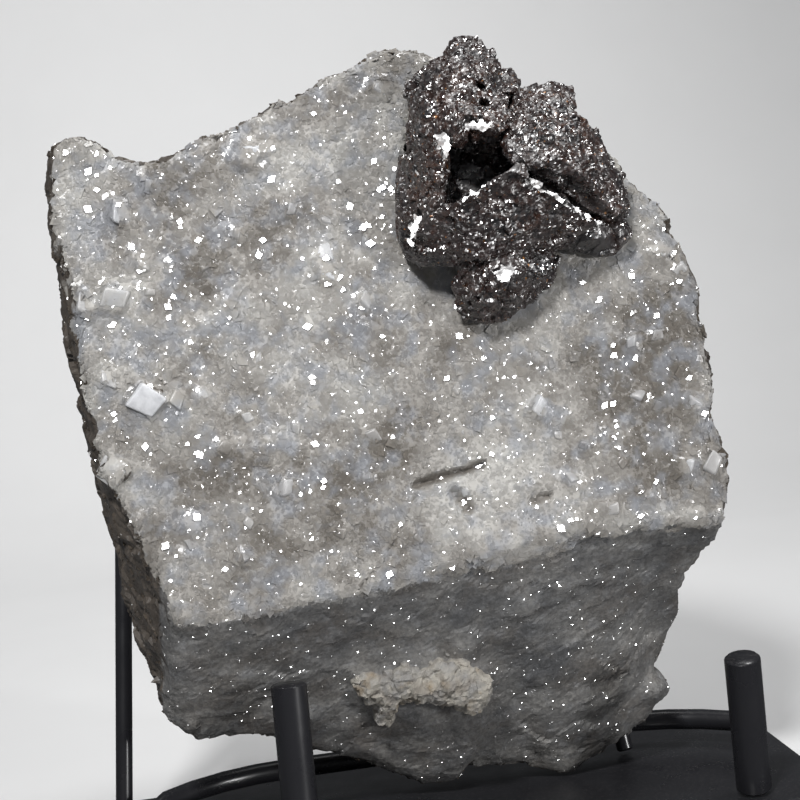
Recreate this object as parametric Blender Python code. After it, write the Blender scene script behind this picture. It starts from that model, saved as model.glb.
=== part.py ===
"""A sphalerite specimen on its stand.

A block of pale grey dolomite, about 160 mm wide, 180 mm tall and 60 mm thick, leans back on
two rods. Its front is a sparkling druse with white rhombs, its lower face is a darker fracture
that slopes back, and a dark red-brown cluster of sphalerite grows at the upper right. The stand
is a black plate with two short posts in front, two leaning rods behind and a low bar.

Metres, z up, the specimen faces -y. The origin is the centre of the plate's underside.

The stone is drawn in its own frame, in millimetres: x to the right and y up along its front,
and w out of its front. The front druse lies at about w = 0.
"""
import math
import random

import bmesh
import bpy
import numpy as np
from mathutils import Matrix, Vector, noise

MM = 0.001
GAP = 0.3

# The pose of the stone on its stand
LEAN_BACK = math.radians(12.0)
TURN_IN_PLANE = math.radians(5.9)
STONE_X = -7.0
STONE_Y = -25.0

# The stone's outline, in runs that go round clockwise as seen from the front.
# Each run has a front edge, a middle line and a back edge of points (x, y, w).
LEFT_FRONT = [(-55, -52, 0), (-60, -37, 0), (-64, -29, 0), (-69, -20, 0), (-73, -8, 0), (-75, 3, 0),
              (-77, 17, 0), (-80, 30, 0), (-82, 42, 0), (-83, 52, 0), (-83, 61, 0)]
LEFT_MIDDLE = [(-57, -75, -29), (-62, -56, -27), (-67, -34, -28), (-73, -10, -29), (-78, 15, -29),
               (-81, 40, -29), (-83, 57, -26)]
LEFT_BACK = [(-57, -73, -38), (-62, -58, -42), (-65, -45, -48), (-68, -32, -53), (-71, -18, -56),
             (-74, -5, -57), (-77, 8, -58), (-80, 38, -58), (-79, 53, -50)]
TOP_FRONT = [(-83, 61, 0), (-79, 64, 0), (-75, 65, 0), (-71, 62, 0), (-67, 59, 0), (-59, 58, 0),
             (-52, 61, 0), (-43, 66, 0), (-32, 71, 0), (-22, 75, 0), (-15, 79, 0), (-9, 82, 0),
             (-6, 85, 0), (-2, 87, 0), (3, 86, 0), (8, 86, 0), (20, 83, 0), (33, 78, 0), (47, 67, 0)]
TOP_MIDDLE = [(-83, 57, -26), (-70, 56, -28), (-52, 60, -28), (-32, 69, -30), (-15, 77, -30),
              (0, 83, -30), (20, 80, -30), (36, 74, -30), (48, 65, -30)]
TOP_BACK = [(-79, 53, -50), (-66, 51, -55), (-48, 54, -58), (-25, 63, -59), (-5, 75, -57),
            (12, 76, -58), (32, 69, -58), (46, 60, -55)]
RIGHT_FRONT = [(47, 67, 0), (58, 56, 0), (65, 48, 0), (69, 40, 0), (74, 33, 0), (74, 24, 0),
               (77, 12, 0), (77, 5, 0), (78, -8, 0), (80, -18, 0), (79, -32, 0)]
RIGHT_MIDDLE = [(48, 65, -30), (61, 51, -30), (70, 38, -31), (74, 20, -33), (76, 2, -33),
                (78, -14, -28), (79, -26, -15), (79, -34, -4)]
RIGHT_BACK = [(46, 60, -55), (59, 45, -57), (66, 28, -60), (68, 10, -60), (70, -10, -59),
              (71, -24, -57), (70, -36, -55)]
STEP_FRONT = [(79, -32, 0), (70, -31, 0), (58, -31, 0), (44, -32, 0), (34, -34, 0), (18, -38, 0),
              (6, -41, 0), (-6, -44, 0), (-20, -47, 0), (-35, -50, 0), (-46, -52, 0), (-55, -52, 0)]
FOOT_MIDDLE = [(79, -34, -4), (75, -38, -12), (73, -42, -20), (75, -49, -28), (75, -54, -33),
               (72, -59, -38), (68, -64, -40), (68, -69, -42), (71, -72, -44), (70, -76, -45),
               (67, -80, -47), (62, -84, -48), (56, -89, -50), (50, -94, -52), (43, -92, -52),
               (39, -91, -52), (27, -88, -48), (22, -87, -48), (20, -94, -52), (14, -95, -53),
               (8, -94, -52), (0, -91, -50), (-9, -86, -44), (-18, -84, -40), (-30, -81, -34),
               (-44, -80, -31), (-51, -78, -30), (-57, -75, -29)]
FOOT_BACK = [(70, -36, -55), (69, -46, -58), (66, -58, -60), (64, -70, -60), (56, -80, -61),
             (46, -88, -61), (36, -86, -60), (22, -84, -60), (10, -90, -60), (-4, -84, -58),
             (-20, -79, -52), (-36, -77, -46), (-50, -75, -41), (-57, -73, -38)]
RUN_STEPS = {"left": 24, "top": 32, "right": 24, "foot": 52}
FRONT_HUB = (0.0, 4.0, 0.6)
BACK_HUB = (0.0, -5.0, -60.0)

# Relief of the rock, as (height, width of a swell) in millimetres
STONE_VOXEL = 2.0
FRONT_RELIEF = [(0.6, 30.0), (0.45, 9.0), (0.35, 4.5)]
BROKEN_RELIEF = [(1.8, 26.0), (1.3, 11.0), (0.7, 5.0)]
FRONT_SEED = 7.0
BROKEN_SEED = 3.0
# A surface counts as front when it looks out this squarely and lies no deeper than this
FRONT_FACING = (0.72, 0.92)
FRONT_DEEPEST = -6.0
# A broken face that still looks forwards is the lower face, and is less rough
LOWER_FACING = 0.2
LOWER_FACE_SHARE = 0.55
LOWER_FACE_LEAST = 0.6
RIM_SHARE = 0.25
RIM_DEPTH = 12.0
STONE_TRIANGLES = 5200

# Lumps and ledges that stand out of the lower face: centre and half sizes
LUMPS = [((-6, -68, -27), (6.5, 5.0, 5.0)),
         ((1, -66, -26), (7.0, 4.5, 5.5)),
         ((10, -66, -25), (8.0, 5.5, 6.0)),
         ((18, -68, -27), (6.5, 6.5, 6.0)),
         ((17, -58, -19), (3.2, 3.0, 2.6)),
         ((69, -71, -43), (4.2, 3.4, 5.0)),
         ((-77, 61, -3), (6.5, 4.0, 5.0))]
# Ledges are convex blocks through these points
LEDGES = [
    [(-12, -70, -26), (22, -70, -25), (25, -77, -34), (19, -93, -49), (6, -92, -49), (-9, -84, -40),
     (-10, -74, -40), (18, -80, -52), (8, -90, -54)],
    [(-56, -61, -8), (-45, -60, -9), (-40, -67, -17), (-45, -74, -24), (-55, -73, -23),
     (-50, -64, -24), (-47, -72, -32)],
    [(36, -70, -35), (47, -67, -33), (50, -75, -38), (44, -80, -43), (37, -78, -42),
     (41, -72, -50), (46, -76, -52)],
    [(52, -82, -42), (60, -79, -41), (60, -84, -46), (50, -91, -50), (42, -90, -49), (50, -84, -56)],
    [(-36, -74, -25), (-20, -76, -28), (-22, -82, -36), (-36, -80, -32), (-28, -77, -40)],
]

# Hollows of the front: a dark slit and two small pits
HOLLOWS = [
    [(2, -20.5, 2), (9, -19.4, 2), (15, -18.0, 2), (20, -17.0, 2), (19, -15.6, 2), (12, -16.2, 2),
     (5, -18.6, 2), (8, -17.6, -3), (14, -16.4, -3)],
    [(11.5, -23.5, 2), (15, -27, 2), (17, -25, 2), (14, -22.5, 2), (14.5, -24.5, -2.5)],
    [(31, -25.5, 2), (36, -24.5, 2), (36, -23.2, 2), (31, -24.0, 2), (33.5, -24.0, -2.0)],
]
# The lips beside the pits, as low flat lumps
LIPS = [((15.5, -22.0, 0.2), (2.8, 2.2, 1.3)), ((34.0, -21.5, 0.2), (3.8, 2.6, 1.4))]

# White dolomite rhombs on the druse: place on the front and edge length
RHOMBS = [(-34.5, 60.2, 5.5), (-30.4, 61.5, 3.4), (-66.5, 46.2, 5.3), (-17.0, 35.7, 4.1),
          (-16.9, 30.8, 4.3), (-67.0, 25.4, 5.8), (-74.5, 23.1, 4.8), (-60.8, 0.8, 6.2),
          (-2.5, 76.4, 4.8), (-69.8, 6.3, 3.8), (-24.7, 47.0, 3.0), (-68.0, -15.2, 6.2),
          (-28.2, -20.7, 3.6), (-50.3, -29.0, 4.1), (-36.6, -3.9, 3.0), (69.5, -17.2, 4.3),
          (76.0, -16.9, 4.3), (34.1, -2.1, 4.6), (72.2, -1.9, 3.4), (50.8, -27.5, 3.0),
          (59.8, -23.9, 3.0), (70.5, 31.7, 3.8), (64.7, 36.0, 3.6)]
RHOMB_COSINE = 0.22
RHOMB_TILT = 0.35
RHOMB_SUNK = 0.12
SMALL_RHOMB_COUNT = 34
SMALL_RHOMB_EDGE = (2.2, 3.4)
SMALL_RHOMB_SPACING = 6.0
# The field of the smaller rhombs: a box, cut by lines (a, b, c) that keep a x + b y under c
FIELD_X = (-72.0, 70.0)
FIELD_Y = (-40.0, 74.0)
FIELD_EDGES = [(-1.0, 0.0, 70.0), (-1.0, -0.34, 70.0), (-0.42, 1.0, 81.2), (0.14, -1.0, 39.2),
               (0.0, 1.0, 66.0), (1.2, 1.0, 114.0)]
# The patch that the sphalerite takes up: centre, half sizes, and how far its edge fades out
CLUSTER_CENTRE = (29.0, 55.0)
CLUSTER_REACH = (36.0, 40.0)
CLUSTER_FADE = 1.25
CLEAR_OF_CLUSTER = 0.9

# The sphalerite: its root in the rock, and the crystals grown together, each a convex block
ROOT_OUTLINE = [(5, 72), (3, 55), (3, 42), (8, 36), (19, 34), (40, 39), (52, 44), (54, 52), (46, 63),
                (39, 70), (28, 74), (21, 79), (12, 79), (7, 76)]
ROOT_DEPTH = 3.7
ROOT_TOP = 4.0
OVERHANG = 1.6
# A rectangle well outside the cluster, and depths well beyond its root on both sides
AROUND_CLUSTER = [(-20, 0), (-20, 110), (90, 110), (90, 0)]
BELOW_ROOT = -10.0
BEYOND_ROOT = 20.0
TALL_CRYSTAL = [
    [(1, 60, 1.6), (0, 50, 1.6), (0, 40, 1.6), (2, 34, 1.6), (8, 33, 1.6), (0, 49, 9), (0, 38, 8),
     (2, 33, 6), (5, 50, 18), (9, 53, 22), (7, 44, 21), (5, 39, 16), (10, 41, 17), (14, 52, 6)],
    [(4, 77, 1.6), (10, 83, 1.6), (3, 60, 3), (3, 60, 14), (6, 77, 13), (6, 66, 20), (12, 62, 25),
     (11, 76, 20), (16, 77, 20), (19, 64, 21), (9, 55, 22), (22, 70, 3)],
    [(12, 82, 1.6), (20, 86, 3), (15, 88, 6), (20, 88, 7), (23, 80, 14), (16, 77, 20), (11, 77, 19),
     (22, 71, 19), (26, 73, 6), (25, 82, 4)],
    [(24, 80, 2), (30, 81, 3), (31, 75, 3), (30, 76, 8), (24, 78, 10), (22, 71, 15), (28, 72, 14)],
    [(16, 72, 20), (24, 70, 19), (26, 64, 21), (21, 60, 23), (14, 62, 25), (20, 74, 8), (26, 72, 6),
     (14, 60, 6), (24, 58, 6)],
    [(1, 58, 3), (2, 57, 12), (6, 58, 21), (11, 59, 24), (9, 50, 22), (3, 50, 12), (1, 50, 3),
     (12, 52, 8)],
]
DOMED_CRYSTAL = [
    [(30, 74, 9), (37, 76, 8), (44, 76, 6), (30, 74, 2), (37, 75, 2), (44, 74, 2), (44, 71, 9),
     (38, 70, 17), (30, 67, 20), (24, 62, 18), (41, 63, 20), (34, 58, 6)],
    [(26, 64, 20), (23, 58, 20), (32, 60, 26), (41, 63, 22), (49, 64, 10), (46, 59, 18), (49, 63, 2),
     (36, 53, 27), (28, 51, 27), (25, 52, 25), (42, 49, 23), (30, 56, 5)],
    [(51, 56, 12), (46, 60, 17), (49, 63, 9), (56, 51, 5), (57, 50, 2), (57, 44, 2), (54, 47, 12),
     (57, 45, 6), (52, 43, 12), (42, 49, 24), (47, 45, 18), (36, 53, 26), (38, 44, 8)],
    [(29, 53, 24), (35, 49, 21), (43, 44, 15), (50, 42, 11), (46, 50, 19), (36, 56, 21), (33, 50, 6),
     (48, 46, 4)],
]
RIDGED_CRYSTAL = [
    [(24, 51, 29), (32, 46, 26), (48, 40, 16), (45, 39, 10), (37, 35, 13), (29, 33, 15), (22, 32, 17),
     (17, 31, 17), (15, 45, 25), (20, 48, 28), (28, 42, 3), (40, 40, 3)],
    [(15, 45, 25), (9, 43, 22), (3, 38, 16), (2, 34, 6), (5, 31, 8), (11, 30, 12), (17, 31, 18),
     (20, 47, 25), (10, 38, 2), (4, 34, 1.6)],
]
FLANGE_CRYSTAL = [
    [(45, 40, 9), (51, 41, 9), (56, 43, 6), (58, 39, 5), (54, 35, 3), (51, 34, 2), (45, 35, 2),
     (37, 36, 6), (47, 37, 10), (54, 40, 1.6), (35, 41, 3), (34, 42, 9)],
]
WEDGE_CRYSTAL = [
    [(13, 31, 12), (12, 27, 9), (13, 22, 6), (16, 18, 3.5), (21, 17.5, 4), (27, 19, 5), (33, 23, 4),
     (38, 28, 4), (39, 33, 8), (30, 33, 13), (24, 32, 16), (18, 31, 15), (23, 27, 18), (18, 22, 12),
     (27, 23, 12), (16, 38, 8), (34, 38, 8), (16, 24, 1.6), (27, 23, 1.6), (24, 39, 3)],
]
DARK_CAVITY = [
    [(11, 54, 34), (14, 58, 34), (18, 58, 34), (22, 55, 34), (23, 51, 34), (19, 46, 34), (14, 45, 34),
     (11, 49, 34), (16, 56, 8), (20, 55, 8), (20, 50, 8), (16, 50, 8)],
    [(17, 68, 28), (19, 71, 28), (22, 69, 28), (21, 66, 28), (17, 66, 28), (19, 68, 15), (20, 67, 15)],
]
# Small crystals on the blocks: three cut corners below and a small flat top
CRYSTAL_KNOBS = 30
KNOB_SIZE = (4.5, 8.0)
KNOB_LEAN = 0.6
KNOB_CORNER_SWING = 0.35
KNOB_TOP_REACH = 0.35
KNOB_HALF_HEIGHT = 0.55
KNOB_LOWEST = 5.0
KNOB_FACING = -0.2

# The stand
PLATE_SIZE = (182.0, 84.0, 8.0)
PLATE_BEVEL = 1.2
POST_RADIUS = 4.4
POST_CHAMFER = 0.5
# The middles of each post's foot (x, y) on the plate and of its top (x, y, z)
POST_LEFT_FOOT = (-42.1, -31.0)
POST_LEFT_TOP = (-41.3, -28.0, 50.1)
POST_RIGHT_FOOT = (69.8, -32.0)
POST_RIGHT_TOP = (67.6, -39.0, 44.2)
UPRIGHT_RADIUS = 2.2
UPRIGHT_LENGTH = 118.0
UPRIGHT_SPLAY = math.radians(6.5)
UPRIGHT_LEFT_X = -84.0
UPRIGHT_RIGHT_X = 50.0
BAR_RADIUS = 2.7
BAR_HEIGHT = 7.0
# The bar is straight in the middle, sweeps forward at both ends and bends down to the plate
BAR_MIDDLE_X = 3.0
BAR_STRAIGHT = 42.0
BAR_SWEEP = math.radians(48.0)
BAR_SWEEP_RADIUS = 45.0
BAR_SWEEP_STEPS = 4
BAR_BEND = 5.5
BAR_BEND_STEPS = 3
BAR_CLEARANCE = 2.0
ROD_SIDES = 18
SHARP_ANGLE = math.radians(35.0)
SEED = 11


def clear_scene():
    for item in list(bpy.data.objects):
        bpy.data.objects.remove(item, do_unlink=True)


def plain_material(name, colour, roughness, metallic):
    material = bpy.data.materials.new(name)
    material.use_nodes = True
    shader = material.node_tree.nodes["Principled BSDF"]
    shader.inputs["Base Color"].default_value = (*colour, 1.0)
    shader.inputs["Roughness"].default_value = roughness
    shader.inputs["Metallic"].default_value = metallic
    return material


def object_from(bm, name, material=None):
    """Turn a bmesh, drawn in millimetres, into an object in metres."""
    bmesh.ops.recalc_face_normals(bm, faces=bm.faces[:])
    bmesh.ops.scale(bm, vec=(MM, MM, MM), verts=bm.verts[:])
    mesh = bpy.data.meshes.new(name)
    bm.to_mesh(mesh)
    bm.free()
    made = bpy.data.objects.new(name, mesh)
    bpy.context.collection.objects.link(made)
    if material:
        mesh.materials.append(material)
    return made


def bake_modifiers(target):
    """Replace the object's mesh with what its modifiers make of it."""
    graph = bpy.context.evaluated_depsgraph_get()
    graph.update()
    result = bpy.data.meshes.new_from_object(target.evaluated_get(graph))
    target.modifiers.clear()
    target.data = result


def boolean(target, tool, operation):
    modifier = target.modifiers.new(operation.lower(), "BOOLEAN")
    modifier.operation = operation
    modifier.solver = "EXACT"
    modifier.use_self = True
    modifier.object = tool
    bake_modifiers(target)
    bpy.data.objects.remove(tool, do_unlink=True)


def dress(target, material):
    """Give the whole piece one material."""
    target.data.materials.clear()
    target.data.materials.append(material)
    target.data.polygons.foreach_set("material_index", [0] * len(target.data.polygons))


def keep_largest(target):
    """Drop crumbs that the cuts leave loose, so that the piece is one body."""
    bm = bmesh.new()
    bm.from_mesh(target.data)
    unseen = set(bm.verts)
    islands = []
    while unseen:
        island = []
        edge_of_walk = [unseen.pop()]
        while edge_of_walk:
            vertex = edge_of_walk.pop()
            island.append(vertex)
            near = [edge.other_vert(vertex) for edge in vertex.link_edges]
            fresh = [other for other in near if other in unseen]
            unseen.difference_update(fresh)
            edge_of_walk += fresh
        islands.append(island)
    islands.sort(key=len)
    crumbs = [vertex for island in islands[:-1] for vertex in island]
    bmesh.ops.delete(bm, geom=crumbs, context="VERTS")
    bm.to_mesh(target.data)
    bm.free()


def resample(points, steps):
    """Walk along a run of points in equal steps, leaving out its last point."""
    points = np.array(points, float)
    lengths = np.linalg.norm(np.diff(points, axis=0), axis=1)
    along = np.concatenate([[0.0], np.cumsum(lengths)])
    wanted = np.linspace(0.0, along[-1], steps + 1)[:-1]
    return [tuple(np.interp(at, along, points[:, axis]) for axis in range(3)) for at in wanted]


def ring(left, top, right, foot):
    runs = (("left", left), ("top", top), ("right", right), ("foot", foot))
    return [point for name, run in runs for point in resample(run, RUN_STEPS[name])]


def add_block(bm, points):
    """A convex block through the points."""
    verts = [bm.verts.new(point) for point in points]
    hull = bmesh.ops.convex_hull(bm, input=verts)
    loose = [item for item in hull["geom_interior"] if isinstance(item, bmesh.types.BMVert)]
    bmesh.ops.delete(bm, geom=loose, context="VERTS")


def add_lump(bm, centre, radii):
    shape = Matrix.Translation(centre) @ Matrix.Diagonal((*radii, 1.0))
    bmesh.ops.create_icosphere(bm, subdivisions=2, radius=1.0, matrix=shape)


def block_object(points, name="block"):
    bm = bmesh.new()
    add_block(bm, points)
    return object_from(bm, name)


def add_rhomb(bm, centre, edge, turn):
    """A rhombohedron whose top face lies nearly flat, turned by the given rotation."""
    slant = math.sqrt(1.0 - 2.0 * RHOMB_COSINE ** 2)
    sides = (Vector((1.0, RHOMB_COSINE, 0.0)), Vector((0.0, 1.0, 0.0)),
             Vector((RHOMB_COSINE, RHOMB_COSINE, slant)))
    corners = {}
    for i in (-0.5, 0.5):
        for j in (-0.5, 0.5):
            for k in (-0.5, 0.5):
                offset = sides[0] * i + sides[1] * j + sides[2] * k
                corners[i, j, k] = bm.verts.new(Vector(centre) + turn @ (offset * edge))
    bmesh.ops.convex_hull(bm, input=list(corners.values()))


def body_of_stone():
    """The rock's plain body: three rings joined by strips and closed by two fans."""
    rings = [ring(LEFT_FRONT, TOP_FRONT, RIGHT_FRONT, STEP_FRONT),
             ring(LEFT_MIDDLE, TOP_MIDDLE, RIGHT_MIDDLE, FOOT_MIDDLE),
             ring(LEFT_BACK, TOP_BACK, RIGHT_BACK, FOOT_BACK)]
    bm = bmesh.new()
    rows = [[bm.verts.new(point) for point in points] for points in rings]
    count = len(rows[0])
    for upper, lower in zip(rows, rows[1:]):
        for i in range(count):
            j = (i + 1) % count
            bm.faces.new((upper[i], upper[j], lower[j], lower[i]))
    for row, centre in ((rows[0], FRONT_HUB), (rows[-1], BACK_HUB)):
        hub = bm.verts.new(centre)
        for i in range(count):
            bm.faces.new((row[i], row[(i + 1) % count], hub))
    for centre, radii in LUMPS + LIPS:
        add_lump(bm, centre, radii)
    for points in LEDGES:
        add_block(bm, points)
    return object_from(bm, "matrix")


def ramp(value, low, high):
    """0 below low, 1 above high, and even in between."""
    return min(1.0, max(0.0, (value - low) / (high - low)))


def swell(point, relief, seed):
    """Height of the rock's relief at a point, from several widths of smooth noise."""
    shift = Vector((seed, seed * 0.7, seed * 1.3))
    return sum(height * noise.noise(Vector(point) / width + shift) for height, width in relief)


def away_from_crystals(x, y):
    """0 where the sphalerite sits, 1 well clear of it."""
    across = (x - CLUSTER_CENTRE[0]) / CLUSTER_REACH[0]
    upwards = (y - CLUSTER_CENTRE[1]) / CLUSTER_REACH[1]
    return ramp(math.hypot(across, upwards), 1.0, CLUSTER_FADE)


def roughen(stone):
    """Give the front a gentle relief and the broken faces a coarse one."""
    mesh = stone.data
    normals = [vertex.normal.copy() for vertex in mesh.vertices]
    for vertex, normal in zip(mesh.vertices, normals):
        x, y, w = vertex.co / MM
        gentle = swell((x, y, w), FRONT_RELIEF, FRONT_SEED) * away_from_crystals(x, y)
        share = RIM_SHARE + (1.0 - RIM_SHARE) * ramp(-w, 0.0, RIM_DEPTH)
        if normal.z > LOWER_FACING:
            share = LOWER_FACE_SHARE * max(share, LOWER_FACE_LEAST)
        broken = swell((x, y, w), BROKEN_RELIEF, BROKEN_SEED) * share
        frontness = ramp(normal.z, *FRONT_FACING) if w > FRONT_DEEPEST else 0.0
        height = gentle * frontness + broken * (1.0 - frontness)
        vertex.co += normal * height * MM


def remesh_and_roughen(stone):
    grid = stone.modifiers.new("grid", "REMESH")
    grid.mode = "VOXEL"
    grid.voxel_size = STONE_VOXEL * MM
    bake_modifiers(stone)
    roughen(stone)
    stone.data.calc_loop_triangles()
    thin = stone.modifiers.new("thin", "DECIMATE")
    thin.ratio = STONE_TRIANGLES / len(stone.data.loop_triangles)
    bake_modifiers(stone)


def tilted(generator, most):
    """A random tilt of up to the given angle after a free turn about the front's normal."""
    turn = Matrix.Rotation(generator.uniform(0.0, math.tau), 3, "Z")
    axis = Vector((generator.uniform(-1, 1), generator.uniform(-1, 1), 0.001)).normalized()
    return Matrix.Rotation(generator.uniform(-most, most), 3, axis) @ turn


def small_rhomb_places(generator):
    """Places for the smaller rhombs: on the druse, clear of its edge and of the sphalerite."""
    places = []
    while len(places) < SMALL_RHOMB_COUNT:
        x = generator.uniform(*FIELD_X)
        y = generator.uniform(*FIELD_Y)
        inside = all(a * x + b * y < c for a, b, c in FIELD_EDGES)
        clear = all(math.hypot(x - a, y - b) > SMALL_RHOMB_SPACING for a, b, _ in RHOMBS + places)
        if inside and clear and away_from_crystals(x, y) > CLEAR_OF_CLUSTER:
            places.append((x, y, generator.uniform(*SMALL_RHOMB_EDGE)))
    return places


def grow_rhombs(stone):
    generator = random.Random(SEED)
    bm = bmesh.new()
    for x, y, edge in RHOMBS + small_rhomb_places(generator):
        middle = swell((x, y, 0), FRONT_RELIEF, FRONT_SEED) - RHOMB_SUNK * edge
        add_rhomb(bm, (x, y, middle), edge, tilted(generator, RHOMB_TILT))
    boolean(stone, object_from(bm, "rhombs"), "UNION")


def offset_outline(points, distance):
    """Move each corner of an outline, which runs anticlockwise, outwards."""
    moved = []
    count = len(points)
    for i, point in enumerate(points):
        before = Vector(point) - Vector(points[i - 1])
        after = Vector(points[(i + 1) % count]) - Vector(point)
        normals = [Vector((side.y, -side.x)).normalized() for side in (before, after)]
        middle = (normals[0] + normals[1]).normalized()
        moved.append(Vector(point) + middle * distance / max(0.5, middle.dot(normals[0])))
    return [tuple(point) for point in moved]


def prism(outline, bottom, top, name):
    bm = bmesh.new()
    low = [bm.verts.new((x, y, bottom)) for x, y in outline]
    high = [bm.verts.new((x, y, top)) for x, y in outline]
    bm.faces.new(low)
    bm.faces.new(high)
    for i in range(len(outline)):
        j = (i + 1) % len(outline)
        bm.faces.new((low[i], low[j], high[j], high[i]))
    return object_from(bm, name)


def make_matrix(material):
    stone = body_of_stone()
    remesh_and_roughen(stone)
    grow_rhombs(stone)
    for points in HOLLOWS:
        boolean(stone, block_object(points), "DIFFERENCE")
    pocket = prism(offset_outline(ROOT_OUTLINE, GAP), -ROOT_DEPTH - GAP, BEYOND_ROOT, "pocket")
    boolean(stone, pocket, "DIFFERENCE")
    keep_largest(stone)
    dress(stone, material)
    return stone


def surface_spots(mesh, count, generator):
    """Random spots on the mesh, as (place, normal), evenly spread by area."""
    mesh.calc_loop_triangles()
    triangles = list(mesh.loop_triangles)
    areas = [triangle.area for triangle in triangles]
    spots = []
    for triangle in generator.choices(triangles, weights=areas, k=count * 4):
        a, b = sorted((generator.random(), generator.random()))
        corners = [mesh.vertices[index].co for index in triangle.vertices]
        place = corners[0] * a + corners[1] * (b - a) + corners[2] * (1.0 - b)
        open_to_front = place.z > KNOB_LOWEST * MM and triangle.normal.z > KNOB_FACING
        if open_to_front and len(spots) < count:
            spots.append((place / MM, triangle.normal.copy()))
    return spots


def add_knob(bm, place, normal, size, generator):
    """A small tetrahedral crystal, half sunk, with its corners cut."""
    facing = normal.to_track_quat("Z", "Y").to_matrix()
    spin = Matrix.Rotation(generator.uniform(0.0, math.tau), 3, "Z")
    lean = Matrix.Rotation(generator.uniform(-KNOB_LEAN, KNOB_LEAN), 3, "X")
    corners = []
    for i in range(3):
        angle = math.tau * i / 3
        for at in (angle - KNOB_CORNER_SWING, angle + KNOB_CORNER_SWING):
            corners.append(Vector((math.cos(at), math.sin(at), -KNOB_HALF_HEIGHT)))
        top = Vector((math.cos(angle), math.sin(angle), 0.0)) * KNOB_TOP_REACH
        corners.append(top + Vector((0.0, 0.0, KNOB_HALF_HEIGHT)))
    points = [place + facing @ (lean @ (spin @ corner)) * (size / 2) for corner in corners]
    bmesh.ops.convex_hull(bm, input=[bm.verts.new(point) for point in points])


def grow_knobs(cluster):
    generator = random.Random(SEED + 1)
    bm = bmesh.new()
    for place, normal in surface_spots(cluster.data, CRYSTAL_KNOBS, generator):
        add_knob(bm, place, normal, generator.uniform(*KNOB_SIZE), generator)
    boolean(cluster, object_from(bm, "knobs"), "UNION")


def make_sphalerite(material):
    cluster = prism(ROOT_OUTLINE, -ROOT_DEPTH, ROOT_TOP, "sphalerite")
    crystals = TALL_CRYSTAL + DOMED_CRYSTAL + RIDGED_CRYSTAL + FLANGE_CRYSTAL + WEDGE_CRYSTAL
    for points in crystals:
        boolean(cluster, block_object(points), "UNION")
    grow_knobs(cluster)
    for points in DARK_CAVITY:
        boolean(cluster, block_object(points), "DIFFERENCE")
    under = prism(AROUND_CLUSTER, BELOW_ROOT, OVERHANG, "under")
    boolean(under, prism(ROOT_OUTLINE, -BEYOND_ROOT, BEYOND_ROOT, "keep"), "DIFFERENCE")
    boolean(cluster, under, "DIFFERENCE")
    keep_largest(cluster)
    dress(cluster, material)
    return cluster


def stone_rotation():
    """Columns: the stone's x, y and w directions in the world."""
    up = Vector((0.0, math.sin(LEAN_BACK), math.cos(LEAN_BACK)))
    out = Vector((0.0, -math.cos(LEAN_BACK), math.sin(LEAN_BACK)))
    across = Vector((1.0, 0.0, 0.0))
    x_axis = across * math.cos(TURN_IN_PLANE) - up * math.sin(TURN_IN_PLANE)
    y_axis = up * math.cos(TURN_IN_PLANE) + across * math.sin(TURN_IN_PLANE)
    return Matrix((x_axis, y_axis, out)).transposed()


def stand_stone_on_plate(stone, cluster):
    """Hold both pieces on one empty, so that the stone's lowest point meets the plate."""
    rotation = stone_rotation()
    lowest = min((rotation @ vertex.co).z for vertex in stone.data.vertices)
    height = (PLATE_SIZE[2] + GAP) * MM - lowest
    pose = bpy.data.objects.new("specimen_pose", None)
    bpy.context.collection.objects.link(pose)
    pose.matrix_world = Matrix.Translation((STONE_X * MM, STONE_Y * MM, height)) @ rotation.to_4x4()
    for piece in (stone, cluster):
        piece.parent = pose
    return pose.matrix_world.copy()


def rod(name, start, end, radius, material):
    """A straight rod with chamfered ends between two points in millimetres."""
    direction = Vector(end) - Vector(start)
    length = direction.length
    profile = [(radius - POST_CHAMFER, 0.0), (radius, POST_CHAMFER), (radius, length - POST_CHAMFER),
               (radius - POST_CHAMFER, length)]
    bm = bmesh.new()
    rows = []
    for distance, height in profile:
        angles = [math.tau * i / ROD_SIDES for i in range(ROD_SIDES)]
        rows.append([bm.verts.new((distance * math.cos(a), distance * math.sin(a), height))
                     for a in angles])
    close_tube(bm, rows)
    made = object_from(bm, name, material)
    made.matrix_world = Matrix.LocRotScale(Vector(start) * MM, direction.to_track_quat("Z", "Y"), None)
    finish_round(made)
    return made


def close_tube(bm, rows):
    count = len(rows[0])
    for lower, upper in zip(rows, rows[1:]):
        for i in range(count):
            j = (i + 1) % count
            bm.faces.new((lower[i], lower[j], upper[j], upper[i]))
    bm.faces.new(rows[0])
    bm.faces.new(rows[-1])


def finish_round(made):
    made.data.shade_smooth()
    made.data.set_sharp_from_angle(angle=SHARP_ANGLE)


def make_plate(material):
    bm = bmesh.new()
    bmesh.ops.create_cube(bm, size=1.0)
    bmesh.ops.scale(bm, vec=PLATE_SIZE, verts=bm.verts[:])
    bmesh.ops.translate(bm, vec=(0.0, 0.0, PLATE_SIZE[2] / 2), verts=bm.verts[:])
    upper = [edge for edge in bm.edges if max(v.co.z for v in edge.verts) > PLATE_SIZE[2] - 0.01]
    bmesh.ops.bevel(bm, geom=upper, offset=PLATE_BEVEL, segments=2, affect="EDGES", profile=0.5)
    return object_from(bm, "base_plate", material)


def make_posts(material):
    for side, foot, top in (("left", POST_LEFT_FOOT, POST_LEFT_TOP),
                            ("right", POST_RIGHT_FOOT, POST_RIGHT_TOP)):
        rise = Vector((*foot, PLATE_SIZE[2] + GAP))
        lean = Vector(top) - rise
        rise.z += POST_RADIUS * math.hypot(lean.x, lean.y) / lean.length
        rod("front_post_" + side, rise, top, POST_RADIUS, material)


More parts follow.
